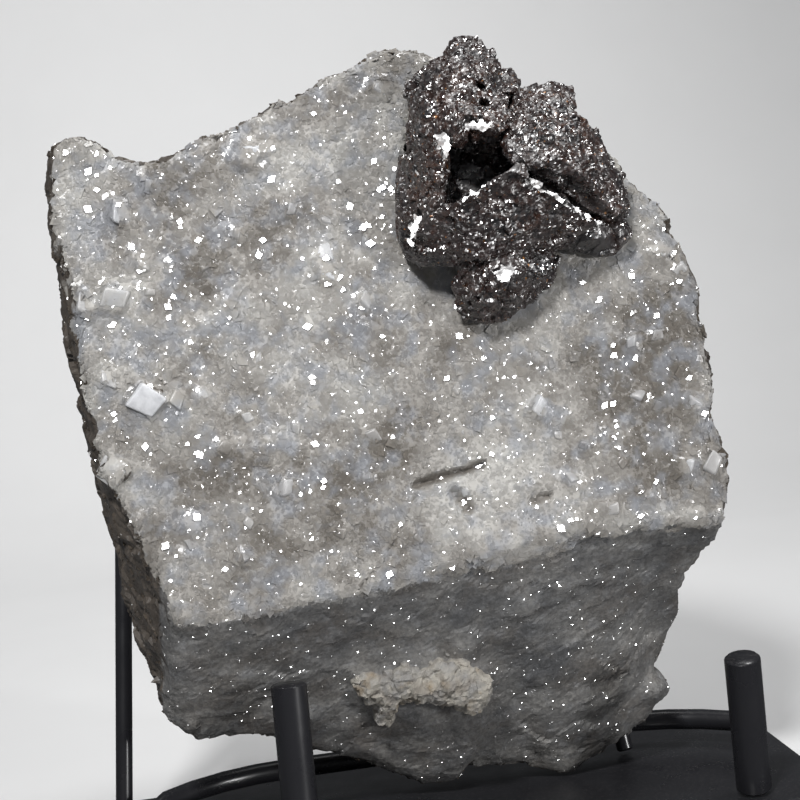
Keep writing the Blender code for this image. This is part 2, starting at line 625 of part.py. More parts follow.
def make_uprights(material, pose, deepest):
    """Two rods that stand on the plate and lean against the stone's back, splayed at the foot."""
    origin = pose.translation / MM
    out = pose.to_3x3() @ Vector((0.0, 0.0, 1.0))
    up = Vector((0.0, math.sin(LEAN_BACK), math.cos(LEAN_BACK)))
    axis_depth = deepest - GAP - UPRIGHT_RADIUS
    foot_height = PLATE_SIZE[2] + GAP + UPRIGHT_RADIUS * math.sin(LEAN_BACK)
    on_plane = origin + out * axis_depth
    foot_reach = (foot_height - on_plane.z) / up.z
    feet = []
    for side, x, splay in (("left", UPRIGHT_LEFT_X, UPRIGHT_SPLAY),
                           ("right", UPRIGHT_RIGHT_X, -UPRIGHT_SPLAY)):
        foot = Vector((x, (on_plane + up * foot_reach).y, foot_height + GAP))
        heading = up * math.cos(splay) + Vector((math.sin(splay), 0.0, 0.0))
        rod("back_upright_" + side, foot, foot + heading * UPRIGHT_LENGTH, UPRIGHT_RADIUS, material)
        feet.append(foot)
    return feet[0].y


def right_half_of_bar(y):
    """The bar's middle line from its middle to its right foot, with x counted from the middle."""
    top = PLATE_SIZE[2] + BAR_HEIGHT
    line = [Vector((BAR_STRAIGHT / 2, y, top))]
    for i in range(BAR_SWEEP_STEPS + 1):
        angle = BAR_SWEEP * i / BAR_SWEEP_STEPS
        line.append(Vector((BAR_STRAIGHT + BAR_SWEEP_RADIUS * math.sin(angle),
                            y - BAR_SWEEP_RADIUS * (1.0 - math.cos(angle)), top)))
    onward = Vector((math.cos(BAR_SWEEP), -math.sin(BAR_SWEEP), 0.0))
    start = line[-1]
    for i in range(1, BAR_BEND_STEPS + 1):
        angle = math.pi / 2 * i / BAR_BEND_STEPS
        drop = Vector((0.0, 0.0, BAR_BEND * (math.cos(angle) - 1.0)))
        line.append(start + onward * BAR_BEND * math.sin(angle) + drop)
    line.append(Vector((line[-1].x, line[-1].y, PLATE_SIZE[2] + GAP)))
    return line


def tube_rows(bm, line, radius):
    """Rings of vertices square to a line of points, each turned as little as can be from the last."""
    rows = []
    side = Vector((0.0, 1.0, 0.0))
    for i, point in enumerate(line):
        ahead = (line[min(i + 1, len(line) - 1)] - line[max(i - 1, 0)]).normalized()
        side = (side - ahead * side.dot(ahead)).normalized()
        other = ahead.cross(side)
        angles = [math.tau * j / ROD_SIDES for j in range(ROD_SIDES)]
        rows.append([bm.verts.new(point + (side * math.cos(a) + other * math.sin(a)) * radius)
                     for a in angles])
    return rows


def make_rear_bar(material, upright_y):
    """A low bar behind the uprights."""
    right = right_half_of_bar(upright_y + UPRIGHT_RADIUS + BAR_RADIUS + BAR_CLEARANCE)
    left = [Vector((-point.x, point.y, point.z)) for point in reversed(right)]
    line = [point + Vector((BAR_MIDDLE_X, 0.0, 0.0)) for point in left + right]
    line[0].z = line[-1].z = PLATE_SIZE[2] + GAP
    bm = bmesh.new()
    rows = tube_rows(bm, line, BAR_RADIUS)
    for row in (rows[0], rows[-1]):
        for vertex in row:
            vertex.co.z = PLATE_SIZE[2] + GAP
    close_tube(bm, rows)
    finish_round(object_from(bm, "rear_bar", material))


def build():
    clear_scene()
    rock = plain_material("dolomite", (0.34, 0.32, 0.29), 0.6, 0.0)
    ore = plain_material("sphalerite", (0.06, 0.02, 0.012), 0.15, 0.0)
    black = plain_material("black_metal", (0.012, 0.012, 0.014), 0.25, 0.6)
    stone = make_matrix(rock)
    cluster = make_sphalerite(ore)
    pose = stand_stone_on_plate(stone, cluster)
    deepest = min(vertex.co.z for vertex in stone.data.vertices) / MM
    make_plate(black)
    make_posts(black)
    upright_y = make_uprights(black, pose, deepest)
    make_rear_bar(black, upright_y)


build()
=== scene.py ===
# %% [markdown]
# # A sphalerite specimen on its stand
# The object is a block of pale dolomite with a sparkling druse on its front, a dark red-brown
# cluster of sphalerite at the upper right, and a black stand of rods on a plate. This lesson
# dresses the finished solids: it never moves them, it only builds finer surfaces in their place.
# We load the solids first and note the box that they fill, because every fine surface has to
# stay inside it.

# %% Load the solids and measure their box
import math
import random

import bmesh
import bpy
import numpy as np
from mathutils import Matrix, Vector, noise


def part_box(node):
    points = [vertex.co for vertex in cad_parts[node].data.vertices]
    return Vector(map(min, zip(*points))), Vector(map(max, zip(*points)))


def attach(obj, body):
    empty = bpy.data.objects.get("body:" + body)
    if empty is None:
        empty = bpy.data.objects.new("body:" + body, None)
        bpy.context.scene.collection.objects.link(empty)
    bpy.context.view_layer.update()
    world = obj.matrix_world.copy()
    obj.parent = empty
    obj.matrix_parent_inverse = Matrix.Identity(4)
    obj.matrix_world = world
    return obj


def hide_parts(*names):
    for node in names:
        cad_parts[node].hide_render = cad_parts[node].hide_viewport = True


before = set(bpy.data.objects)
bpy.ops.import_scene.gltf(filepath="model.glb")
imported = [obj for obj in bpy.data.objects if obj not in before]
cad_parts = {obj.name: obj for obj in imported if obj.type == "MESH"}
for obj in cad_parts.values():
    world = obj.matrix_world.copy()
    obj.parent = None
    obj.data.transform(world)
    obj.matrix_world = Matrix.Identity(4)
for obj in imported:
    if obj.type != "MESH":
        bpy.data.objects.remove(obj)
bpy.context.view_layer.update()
MM = 0.001
print("solids:", sorted(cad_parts))

# %% [markdown]
# The stone leans back on its rods and is turned a little in its own plane. It is far easier to
# think of it lying squarely in front of us, so we define its own frame: x to the right, y up and
# w out of the druse. A rotation matrix and an origin carry any point between the stone's frame
# and the world. Typing world coordinates for every crystal would work too, but nobody could read
# them.

# %% The stone's own frame
LEAN_BACK = math.radians(12.0)
TURN_IN_PLANE = math.radians(5.9)
STONE_ORIGIN = np.array((-7.0, -25.0, 114.39))


def stone_axes():
    """Rows: the stone's x, y and w directions in the world."""
    up = np.array((0.0, math.sin(LEAN_BACK), math.cos(LEAN_BACK)))
    out = np.array((0.0, -math.cos(LEAN_BACK), math.sin(LEAN_BACK)))
    across = np.array((1.0, 0.0, 0.0))
    x_axis = across * math.cos(TURN_IN_PLANE) - up * math.sin(TURN_IN_PLANE)
    y_axis = up * math.cos(TURN_IN_PLANE) + across * math.sin(TURN_IN_PLANE)
    return np.array((x_axis, y_axis, out))


AXES = stone_axes()


def to_stone(points):
    """World metres to millimetres in the stone's frame."""
    return (np.asarray(points) / MM - STONE_ORIGIN) @ AXES.T


def to_world(points):
    return (np.asarray(points) @ AXES + STONE_ORIGIN) * MM


STONE_CENTRE = Vector(STONE_ORIGIN * MM)
for name in ("matrix", "sphalerite"):
    local = to_stone([v.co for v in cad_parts[name].data.vertices])
    print(name, "in its own frame, mm:", local.min(0).round(1), local.max(0).round(1))

# %% [markdown]
# Every fine surface below starts the same way: copy the solid's mesh, cover it with an even
# net of small squares (a voxel remesh), then push the net in and out. An even net is what makes
# the relief look the same everywhere. A subdivision would keep the long thin triangles of the
# solid and show them as streaks.

# %% Copy a solid and give it an even net
def read_points(mesh):
    flat = np.empty(len(mesh.vertices) * 3)
    mesh.vertices.foreach_get("co", flat)
    return flat.reshape(-1, 3)


def write_points(mesh, points):
    mesh.vertices.foreach_set("co", np.asarray(points, np.float32).ravel())
    mesh.update()


def read_normals(mesh):
    flat = np.empty(len(mesh.vertices) * 3)
    mesh.vertex_normals.foreach_get("vector", flat)
    return flat.reshape(-1, 3)


def settle(piece):
    """Replace the piece's mesh with what its modifiers make of it."""
    graph = bpy.context.evaluated_depsgraph_get()
    mesh = bpy.data.meshes.new_from_object(piece.evaluated_get(graph))
    piece.modifiers.clear()
    piece.data = mesh


def fine_copy(node, name, voxel):
    piece = bpy.data.objects.new(name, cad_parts[node].data.copy())
    bpy.context.collection.objects.link(piece)
    piece.data.materials.clear()
    net = piece.modifiers.new("net", "REMESH")
    net.mode = "VOXEL"
    net.voxel_size = voxel * MM
    settle(piece)
    print(name, "has", len(piece.data.polygons), "faces of about", voxel, "mm")
    return piece


rock = fine_copy("matrix", "dolomite_rock", 1.15)

# %% [markdown]
# The solid's triangles are several millimetres wide, and on real broken rock no such triangles
# show. We relax the net first, which melts their edges, and spare the rim of the druse where a
# real edge is crisp. Then we add relief: shallow hills on the druse, which crystals will cover,
# and coarser ones on the broken faces. Rock breaks in flats as well as in waves, so the broken
# faces also get small planes, each tilted its own way. Noise from the maths library gives the
# same hills each time the script runs.

# %% Relax the rock and give it relief
def ramp(value, low, high):
    """0 below low, 1 above high, and even in between."""
    return np.clip((value - low) / (high - low), 0.0, 1.0)


def neighbour_means(mesh, points):
    ends = np.empty(len(mesh.edges) * 2, np.int64)
    mesh.edges.foreach_get("vertices", ends)
    ends = ends.reshape(-1, 2)
    count = np.bincount(ends.ravel(), minlength=len(points))
    total = np.zeros_like(points)
    for axis in range(3):
        total[:, axis] += np.bincount(ends[:, 0], points[ends[:, 1], axis], len(points))
        total[:, axis] += np.bincount(ends[:, 1], points[ends[:, 0], axis], len(points))
    return total / count[:, None]


def relax(mesh, weight, rounds):
    points = read_points(mesh)
    for _ in range(rounds):
        points += (neighbour_means(mesh, points) - points) * weight[:, None]
    write_points(mesh, points)


def swell(points, relief, seed):
    """Sum of smooth noise fields, given as (height, width) in millimetres."""
    heights = np.zeros(len(points))
    shift = Vector((seed, seed * 0.7, seed * 1.3))
    for height, width in relief:
        heights += [height * noise.noise(Vector(p) / width + shift) for p in points]
    return heights


def slopes_of(centres, seed):
    """Two random slopes for each cell, from a hash of the cell's centre."""
    mixed = np.sin(centres @ np.array((127.1, 311.7, 74.7)) + seed) * 43758.5453
    other = np.sin(centres @ np.array((269.5, 183.3, 246.1)) + seed * 2.0) * 28001.8384
    return np.stack((mixed - np.floor(mixed), other - np.floor(other)), axis=1) * 2.0 - 1.0


def facet_heights(local, facing, width, slope, seed):
    """Height of tilted flat cells, about width across, over the surface."""
    shift = Vector((seed, seed * 1.7, seed * 0.6))
    found = [noise.voronoi(Vector(p) / width + shift)[1][0] for p in local]
    centres = (np.array([tuple(f) for f in found]) - np.array(shift)) * width
    side = np.cross(facing, np.array((0.31, 0.87, 0.38)))
    side /= np.linalg.norm(side, axis=1)[:, None] + 1e-9
    other = np.cross(facing, side)
    offset = local - centres
    tilt = slopes_of(centres.round(3), seed) * slope
    return (offset * side).sum(1) * tilt[:, 0] + (offset * other).sum(1) * tilt[:, 1]


def surface_kinds(mesh):
    """For each vertex: how far it belongs to the druse and to the lower face."""
    local = to_stone(read_points(mesh))
    facing = read_normals(mesh) @ AXES.T
    x, y, w = local.T
    step = -52.0 + (x + 55.0) * 0.16
    druse = ramp(facing[:, 2], 0.5, 0.8) * ramp(w, -5.0, -2.5) * ramp(y - step, -3.0, 0.0)
    lower = ramp(facing[:, 2], 0.05, 0.35) * (1.0 - druse)
    return druse, lower * ramp(-y, 24.0, 30.0) * ramp(x, -59.0, -57.0)


# Heights and widths of the hills in mm, and widths and slopes of the planes
FRONT_DETAIL = [(0.25, 3.0), (0.12, 1.4)]
LOWER_DETAIL = [(0.4, 11.0), (0.2, 4.0), (0.12, 1.8)]
BROKEN_DETAIL = [(0.5, 9.0), (0.3, 3.6), (0.2, 1.8)]
PLANES = [(10.0, 0.15), (4.0, 0.20)]
PLANES_ON_LOWER = 0.3
PLANES_ON_BROKEN = 1.2
HIGHEST_RELIEF = 1.1
RELAXING = {"rim": 0.12, "rest": 0.35, "rounds": 3}


def roughen(piece):
    """Relax a net of the stone and push it in and out."""
    mesh = piece.data
    druse, lower = surface_kinds(mesh)
    rim = to_stone(read_points(mesh))[:, 2] > -2.5
    relax(mesh, np.where(rim, RELAXING["rim"], RELAXING["rest"]), RELAXING["rounds"])
    points = read_points(mesh)
    local = to_stone(points)
    broken = 1.0 - np.maximum(druse, lower)
    facing = read_normals(mesh) @ AXES.T
    height = swell(local, FRONT_DETAIL, 1.0) * druse
    height += swell(local, LOWER_DETAIL, 2.0) * lower
    height += swell(local, BROKEN_DETAIL, 3.0) * broken * 0.8
    share = PLANES_ON_LOWER * lower + PLANES_ON_BROKEN * broken
    for number, (width, slope) in enumerate(PLANES):
        height += facet_heights(local, facing, width, slope, 12.0 + number) * share
    height = np.minimum(height, HIGHEST_RELIEF)
    near_plate = ramp(points[:, 2] / MM, 9.0, 14.0)
    write_points(mesh, points + read_normals(mesh) * (height * near_plate * MM)[:, None])
    print(piece.name, "relief in mm:", height.min().round(2), "to", height.max().round(2))
    return near_plate


near_plate = roughen(rock)

# %% [markdown]
# The front isn't one even carpet. A slit, two pits and a hairline crack cross it, and its tone
# drifts from cream to grey-brown in patches a few centimetres wide. We carve the slit, pits and
# crack as distances to short lines. The tone is a sum of listed soft spots and smooth noise.
# Both are worked out in the stone's frame, where they are easy to place.

# %% Carve the cracks and work out the tone
# Each crack: the points of its line on the front, half its width and its depth
CRACKS = [([(3.4, -20.4), (9.6, -18.4), (15.0, -17.2), (19.6, -15.8)], 1.0, 2.4),
          ([(12.6, -22.8), (14.6, -25.0), (15.6, -26.4)], 1.5, 2.0),
          ([(31.5, -24.8), (35.5, -23.8)], 0.8, 1.4),
          ([(4.2, -20.6), (0.4, -28.8), (-4.6, -38.0), (-11.5, -45.2)], 0.45, 0.7)]
# Each soft spot: its middle x and y, its reach across and up, and how pale it is. The large dark
# spot at x 62, y 4 is partly grey-brown tone and partly painted shade, on the right side that
# lies away from the key lamp.
TONES = [(22, -18, 17, 12, 0.75), (4, -31, 12, 9, 0.5), (-21, 23, 6, 18, 0.5),
         (-13, 62, 9, 15, 0.6), (-77, 45, 6, 16, 0.5), (-76, 8, 5, 18, 0.45),
         (62, -26, 9, 5, 0.35), (-8, 3, 9, 6, 0.4), (-70, 60, 10, 6, 0.5),
         (-30, 60, 10, 8, 0.3), (-40, 22, 7, 10, 0.2), (56, 44, 6, 14, 0.3),
         (-18, -22, 17, 12, -0.75), (-44, -14, 9, 12, -0.6), (-53, 50, 8, 9, -0.8),
         (-3, 14, 6, 9, -0.45), (-34, -34, 14, 9, -0.5), (62, 4, 14, 24, -1.5),
         (44, 8, 12, 9, -0.65), (-50, 30, 7, 8, -0.4), (-30, 40, 6, 9, -0.35), (8, 22, 10, 8, -0.3)]
LOWER_TONES = [(-43, -66, 8, 6, 0.8), (-50, -74, 6, 6, 0.6), (4, -86, 12, 5, 0.7),
               (41, -86, 14, 5, 0.9), (47, -73, 8, 4, 0.7), (58, -63, 7, 8, 0.5),
               (-20, -72, 9, 5, 0.35), (-12, -60, 6, 5, 0.2), (-10.3, -62, 2.6, 2.9, 0.9),
               (14.8, -59.6, 2.2, 2.8, 0.9), (43, -63, 8, 7, -0.5), (30, -50, 30, 5, -0.6),
               (-20, -57, 25, 4, -0.4), (28, -66, 7, 6, -0.4)]
TONE_DRIFT = [(0.75, 13.0), (0.8, 5.5), (0.25, 2.4)]


def gap_to_line(local, line):
    """Distance of each point from a bent line on the front."""
    nearest = np.full(len(local), np.inf)
    for (start_x, start_y), (end_x, end_y) in zip(line, line[1:]):
        run_x, run_y = end_x - start_x, end_y - start_y
        from_x, from_y = local[:, 0] - start_x, local[:, 1] - start_y
        along = np.clip((from_x * run_x + from_y * run_y) / (run_x ** 2 + run_y ** 2), 0.0, 1.0)
        nearest = np.minimum(nearest, np.hypot(from_x - along * run_x, from_y - along * run_y))
    return nearest


def crack_depth(local):
    """How deep each point lies in a crack, in millimetres."""
    wobble = swell(local, [(0.5, 2.2)], 9.0)
    depth = np.zeros(len(local))
    for line, half_width, deepest in CRACKS:
        reach = gap_to_line(local, line) * (1.0 + wobble * 0.5)
        share = 1.0 - ramp(reach, half_width * 0.35, half_width * 1.3)
        depth = np.maximum(depth, deepest * share)
    return depth


def spot(local, x, y, wide, tall):
    """1 in the middle of a soft oval spot on the front, fading to 0 around it."""
    return np.exp(-((local[:, 0] - x) / wide) ** 2 - ((local[:, 1] - y) / tall) ** 2)


def tone_at(local):
    """About -1 for the darkest patches of the front to 1 for the palest."""
    tone = sum(amount * spot(local, *oval) for *oval, amount in TONES + LOWER_TONES)
    return tone + swell(local, TONE_DRIFT, 8.0)


druse, lower = surface_kinds(rock.data)
points = read_points(rock.data)
local = to_stone(points)
carved = crack_depth(local) * druse
write_points(rock.data, points - (carved * MM)[:, None] * AXES[2])
# Darker tone in the cracks and pits is painted shade of the recesses
tone = tone_at(local) - carved * 0.8
print("tone runs from", tone.min().round(2), "to", tone.max().round(2))

# %% [markdown]
# A shader can only tell druse from broken rock if the mesh says which is which. We store the
# shares and the tone on every vertex as named attributes, and the material mixes its colours by
# them. Painting a mask image would do the same, but an attribute needs no picture and no
# unwrapping. The crystals that we grow next carry the same attributes, so one recipe colours
# both.

# %% Store what each part of the rock is
SHARES = {"druse": druse, "lower": lower, "tone": tone}


def store(mesh, name, values):
    layer = mesh.attributes.new(name, "FLOAT", "POINT")
    layer.data.foreach_set("value", np.asarray(values, np.float32))


def store_vector(mesh, name, rows):
    layer = mesh.attributes.new(name, "FLOAT_VECTOR", "POINT")
    layer.data.foreach_set("vector", np.asarray(rows, np.float32).ravel())


for name, share in SHARES.items():
    store(rock.data, name, share)
print("vertices on the druse:", int(druse.sum()), "lower face:", int(lower.sum()))

# %% [markdown]
# On the lower face sits a beige crust, lumpy like a piece of cauliflower. It is a growth of its
# own, and its lumps are finer than the rock's net can show. So we cut a small patch out of a much
# finer net, raise it where four overlapping ovals say, and break it up with knobs from cell
# noise, waves and small tilted planes. The patch's edge dips under the rock, which hides the
# seam.

# %% Raise the crust
CRUST_OVALS = [(1.4, -68.0, 11.0, 4.6), (12.4, -67.2, 9.0, 5.6), (-2.2, -73.2, 3.2, 4.4),
               (18.4, -69.6, 4.4, 6.0)]
CRUST_HEIGHT = 2.0
CRUST_SUNK = 0.7
KNOB_WIDTH = 2.6
KNOB_SEED = 3.0
CRUST_WAVES = [(0.7, 3.2), (0.4, 1.2)]
CRUST_PLANES = [(3.0, 0.3), (1.3, 0.4)]


def crust_share(local):
    """1 in the middle of an oval, 0 on its outline and negative outside."""
    share = np.full(len(local), -1.0)
    for x, y, wide, tall in CRUST_OVALS:
        reach = np.hypot((local[:, 0] - x) / wide, (local[:, 1] - y) / tall)
        share = np.maximum(share, 1.0 - reach)
    return share + swell(local, [(0.35, 4.0), (0.25, 1.6)], 10.0)


def knobs(local):
    """Round knobs, 1 at their tops and 0 in the creases between them."""
    shift = Vector((KNOB_SEED, KNOB_SEED, KNOB_SEED))
    reach = np.array([noise.voronoi(Vector(p) / KNOB_WIDTH + shift)[0][0] for p in local])
    return np.sqrt(np.clip(1.0 - (reach * 1.3) ** 2, 0.0, 1.0))


def keep_only(mesh, kept):
    """Delete all vertices but the kept ones, with the faces on them."""
    net = bmesh.new()
    net.from_mesh(mesh)
    net.verts.ensure_lookup_table()
    bmesh.ops.delete(net, geom=[net.verts[i] for i in np.flatnonzero(~kept)], context="VERTS")
    net.to_mesh(mesh)
    net.free()


def raise_crust():
    piece = fine_copy("matrix", "beige_crust", 0.55)
    local = to_stone(read_points(piece.data))
    front_side = (local[:, 2] > -34.0) & (local[:, 1] < -50.0)
    keep_only(piece.data, (crust_share(local) > -0.45) & front_side)
    roughen(piece)
    points = read_points(piece.data)
    local = to_stone(points)
    share = crust_share(local)
    height = (CRUST_HEIGHT + CRUST_SUNK) * np.sqrt(ramp(share, -0.05, 0.3)) - CRUST_SUNK
    facing = read_normals(piece.data) @ AXES.T
    lumps = 0.25 * knobs(local) + swell(local, CRUST_WAVES, 15.0)
    for number, (width, slope) in enumerate(CRUST_PLANES):
        lumps += facet_heights(local, facing, width, slope, 16.0 + number)
    height += (lumps - 0.3) * ramp(share, 0.0, 0.2)
    write_points(piece.data, points + read_normals(piece.data) * (height * MM)[:, None])
    store(piece.data, "lower", np.ones(len(points)))
    store(piece.data, "crust", ramp(share, -0.1, 0.05))
    store(piece.data, "tone", tone_at(local))
    # The knob heights, which the finish uses to paint shade into the creases between the knobs
    store(piece.data, "creases", knobs(local))
    return piece


crust = raise_crust()
print("the crust has", len(crust.data.polygons), "faces")

# %% [markdown]
# A flat face flashes when it stands square to the direction halfway between the lamp and the
# viewer. We settle now where the viewer and the main lamp stand, because some crystals and a few
# broken edges are turned to that direction on purpose, as a collector turns a specimen in the
# light until it sparkles.

# %% Where the viewer and the main lamp stand
CAMERA_AZIMUTH = math.radians(8.0)
CAMERA_DOWN = math.radians(6.0)
CAMERA_ROLL = math.radians(5.9)
CAMERA_DISTANCE = 0.533
KEY_OFFSET = (-0.24, -0.62, 0.60)


def toward_viewer():
    return np.array((-math.sin(CAMERA_AZIMUTH) * math.cos(CAMERA_DOWN),
                     -math.cos(CAMERA_AZIMUTH) * math.cos(CAMERA_DOWN), math.sin(CAMERA_DOWN)))


def unit(rows):
    return rows / np.linalg.norm(rows, axis=-1, keepdims=True)


def halfway(places):
    """The flashing direction at each place, both in the world. It turns as the place moves."""
    centre = np.array(STONE_CENTRE)
    to_lamp = unit(centre + np.array(KEY_OFFSET) - places)
    to_viewer = unit(centre + toward_viewer() * CAMERA_DISTANCE - places)
    return unit(to_lamp + to_viewer)


print("in the middle, faces flash that look towards", halfway(np.array(STONE_CENTRE)).round(2))

# %% [markdown]
# The druse is a crust of thousands of dolomite crystals, each a little rhombohedron about a
# millimetre across. We draw random spots on the rock's front, lay one rhomb on each with one
# face nearly outward and a random turn, and write all of them into one mesh with numpy.
# Instancing by a scatter modifier would be quicker to set up, but joined meshes travel safely to
# other programs. Each crystal also stores a random shade, so that neighbours differ as they do
# on the stone, and which way the rock under it faces.

# %% Scatter crystals on a surface
RHOMB_COSINE = 0.22
# How far the middle of a unit rhomb goes down for its top face to lie about level with the rock
RHOMB_SUNK = 0.487
RHOMB_FACES = np.array([(0, 1, 3, 2), (4, 6, 7, 5), (0, 4, 5, 1),
                        (2, 3, 7, 6), (0, 2, 6, 4), (1, 5, 7, 3)])


def rhomb_corners():
    """The eight corners of a rhombohedron of unit edge, with two faces square to z."""
    slant = math.sqrt(1.0 - 2.0 * RHOMB_COSINE ** 2)
    sides = np.array(((1.0, RHOMB_COSINE, 0.0), (0.0, 1.0, 0.0),
                      (RHOMB_COSINE, RHOMB_COSINE, slant)))
    steps = [(i, j, k) for i in (-0.5, 0.5) for j in (-0.5, 0.5) for k in (-0.5, 0.5)]
    return np.array(steps) @ sides


def random_turns(generator, normals, tilt):
    """Rotation matrices that stand z along each normal, tilted and spun at random."""
    count = len(normals)
    z = unit(normals + generator.normal(size=(count, 3)) * math.tan(tilt))
    side = generator.normal(size=(count, 3))
    x = unit(side - z * (side * z).sum(1)[:, None])
    return np.stack((x, np.cross(z, x), z), axis=2)


def spots_on(mesh, chance, count, generator):
    """Random places and normals on the mesh, and the shares of the rock at each place."""
    mesh.calc_loop_triangles()
    corners = np.empty(len(mesh.loop_triangles) * 3, np.int64)
    mesh.loop_triangles.foreach_get("vertices", corners)
    corners = corners.reshape(-1, 3)
    points = read_points(mesh)
    a, b, c = (points[corners[:, i]] for i in range(3))
    area = np.linalg.norm(np.cross(b - a, c - a), axis=1) / 2
    odds = area * chance[corners].mean(1)
    chosen = corners[generator.choice(len(corners), size=count, p=odds / odds.sum())]
    split = generator.dirichlet((1.0, 1.0, 1.0), count)
    where = np.einsum("nk,nkj->nj", split, points[chosen])
    smooth = np.einsum("nk,nkj->nj", split, read_normals(mesh)[chosen])
    shares = {name: (values[chosen] * split).sum(1) for name, values in SHARES.items()}
    return where, unit(smooth), shares


def crystal_piece(name, where, ground, turns, edges, flatness, shares, shades):
    """All crystals as one mesh. Places are in metres, edges in mm, ground is the rock's normals."""
    count = len(where)
    stretch = np.stack((np.ones(count), np.ones(count), flatness), 1)
    turned = np.einsum("nij,nkj->nki", turns, rhomb_corners()[None] * stretch[:, None])
    verts = where[:, None, :] + turned * (edges * MM)[:, None, None]
    faces = (RHOMB_FACES[None] + 8 * np.arange(count)[:, None, None]).reshape(-1)
    mesh = bpy.data.meshes.new(name)
    mesh.vertices.add(count * 8)
    mesh.vertices.foreach_set("co", verts.astype(np.float32).ravel())
    mesh.loops.add(len(faces))
    mesh.loops.foreach_set("vertex_index", faces.astype(np.int32))
    mesh.polygons.add(count * 6)
    mesh.polygons.foreach_set("loop_start", np.arange(0, len(faces), 4, dtype=np.int32))
    mesh.update(calc_edges=True)
    mesh.shade_flat()
    store(mesh, "shade", np.repeat(shades, 8))
    store_vector(mesh, "ground", np.repeat(ground, 8, axis=0))
    for key, values in shares.items():
        store(mesh, key, np.repeat(values, 8))
    piece = bpy.data.objects.new(name, mesh)
    bpy.context.collection.objects.link(piece)
    print(name, "has", count, "crystals and", count * 12, "triangles")
    return piece


print("a rhomb of unit edge is", round(2.0 * rhomb_corners()[-1, 2], 3), "high")

# %% [markdown]
# The larger white rhombs are dolomite crystals of a later growth, milky, flat-faced and a little
# worn. The solids carry them, at places judged from the photograph, so we repeat the same list
# and the same seeded draws here. Over each one we set a finer crystal with slightly uneven
# corners and rounded edges, since a perfect block would look like sugar from a packet. The small
# ones are hardly paler than the druse, so each stores a shade of its own.

# %% Set the white rhombs
# Each rhomb: its place x and y on the front, and its edge
RHOMBS = [(-34.5, 60.2, 5.5), (-30.4, 61.5, 3.4), (-66.5, 46.2, 5.3), (-17.0, 35.7, 4.1),
          (-16.9, 30.8, 4.3), (-67.0, 25.4, 5.8), (-74.5, 23.1, 4.8), (-60.8, 0.8, 6.2),
          (-2.5, 76.4, 4.8), (-69.8, 6.3, 3.8), (-24.7, 47.0, 3.0), (-68.0, -15.2, 6.2),
          (-28.2, -20.7, 3.6), (-50.3, -29.0, 4.1), (-36.6, -3.9, 3.0), (69.5, -17.2, 4.3),
          (76.0, -16.9, 4.3), (34.1, -2.1, 4.6), (72.2, -1.9, 3.4), (50.8, -27.5, 3.0),
          (59.8, -23.9, 3.0), (70.5, 31.7, 3.8), (64.7, 36.0, 3.6)]
RHOMB_WHITENESS = [1.0, 0.4, 0.4, 0.7, 0.8, 0.4, 0.5, 1.0, 0.5, 0.4, 0.3, 0.5, 0.5, 0.5, 0.4, 0.7,
                   0.4, 0.7, 0.4, 0.3, 0.3, 0.4, 0.4]
RHOMB_SEED = 11
RHOMB_GAP = 6.0
RHOMB_UNEVEN = 0.055
RHOMB_WEAR = 0.6
SMALL_RHOMB_COUNT = 34
SMALL_RHOMB_EDGE = (2.2, 3.4)
# The relief that the solid's front has already
FRONT_RELIEF = [(0.6, 30.0), (0.45, 9.0), (0.35, 4.5)]
# The small rhombs keep to a * x + b * y < c for each row (a, b, c), and off the sphalerite
FIELD_EDGES = [(-1.0, 0.0, 70.0), (-1.0, -0.34, 70.0), (-0.42, 1.0, 81.2), (0.14, -1.0, 39.2),
               (0.0, 1.0, 66.0), (1.2, 1.0, 114.0)]


def away_from_sphalerite(x, y):
    return float(ramp(math.hypot((x - 29) / 36.0, (y - 55) / 40.0), 1.0, 1.25))


def tilted(generator, most):
    """A random turn about the outward direction, and then a random tilt of it."""
    turn = Matrix.Rotation(generator.uniform(0.0, math.tau), 3, "Z")
    axis = Vector((generator.uniform(-1, 1), generator.uniform(-1, 1), 0.001)).normalized()
    return Matrix.Rotation(generator.uniform(-most, most), 3, axis) @ turn


def small_rhomb_places(generator):
    places = []
    while len(places) < SMALL_RHOMB_COUNT:
        x = generator.uniform(-72.0, 70.0)
        y = generator.uniform(-40.0, 74.0)
        inside = all(a * x + b * y < c for a, b, c in FIELD_EDGES)
        clear = all(math.hypot(x - a, y - b) > RHOMB_GAP for a, b, _ in RHOMBS + places)
        if inside and clear and away_from_sphalerite(x, y) > 0.9:
            places.append((x, y, generator.uniform(*SMALL_RHOMB_EDGE)))
    return places


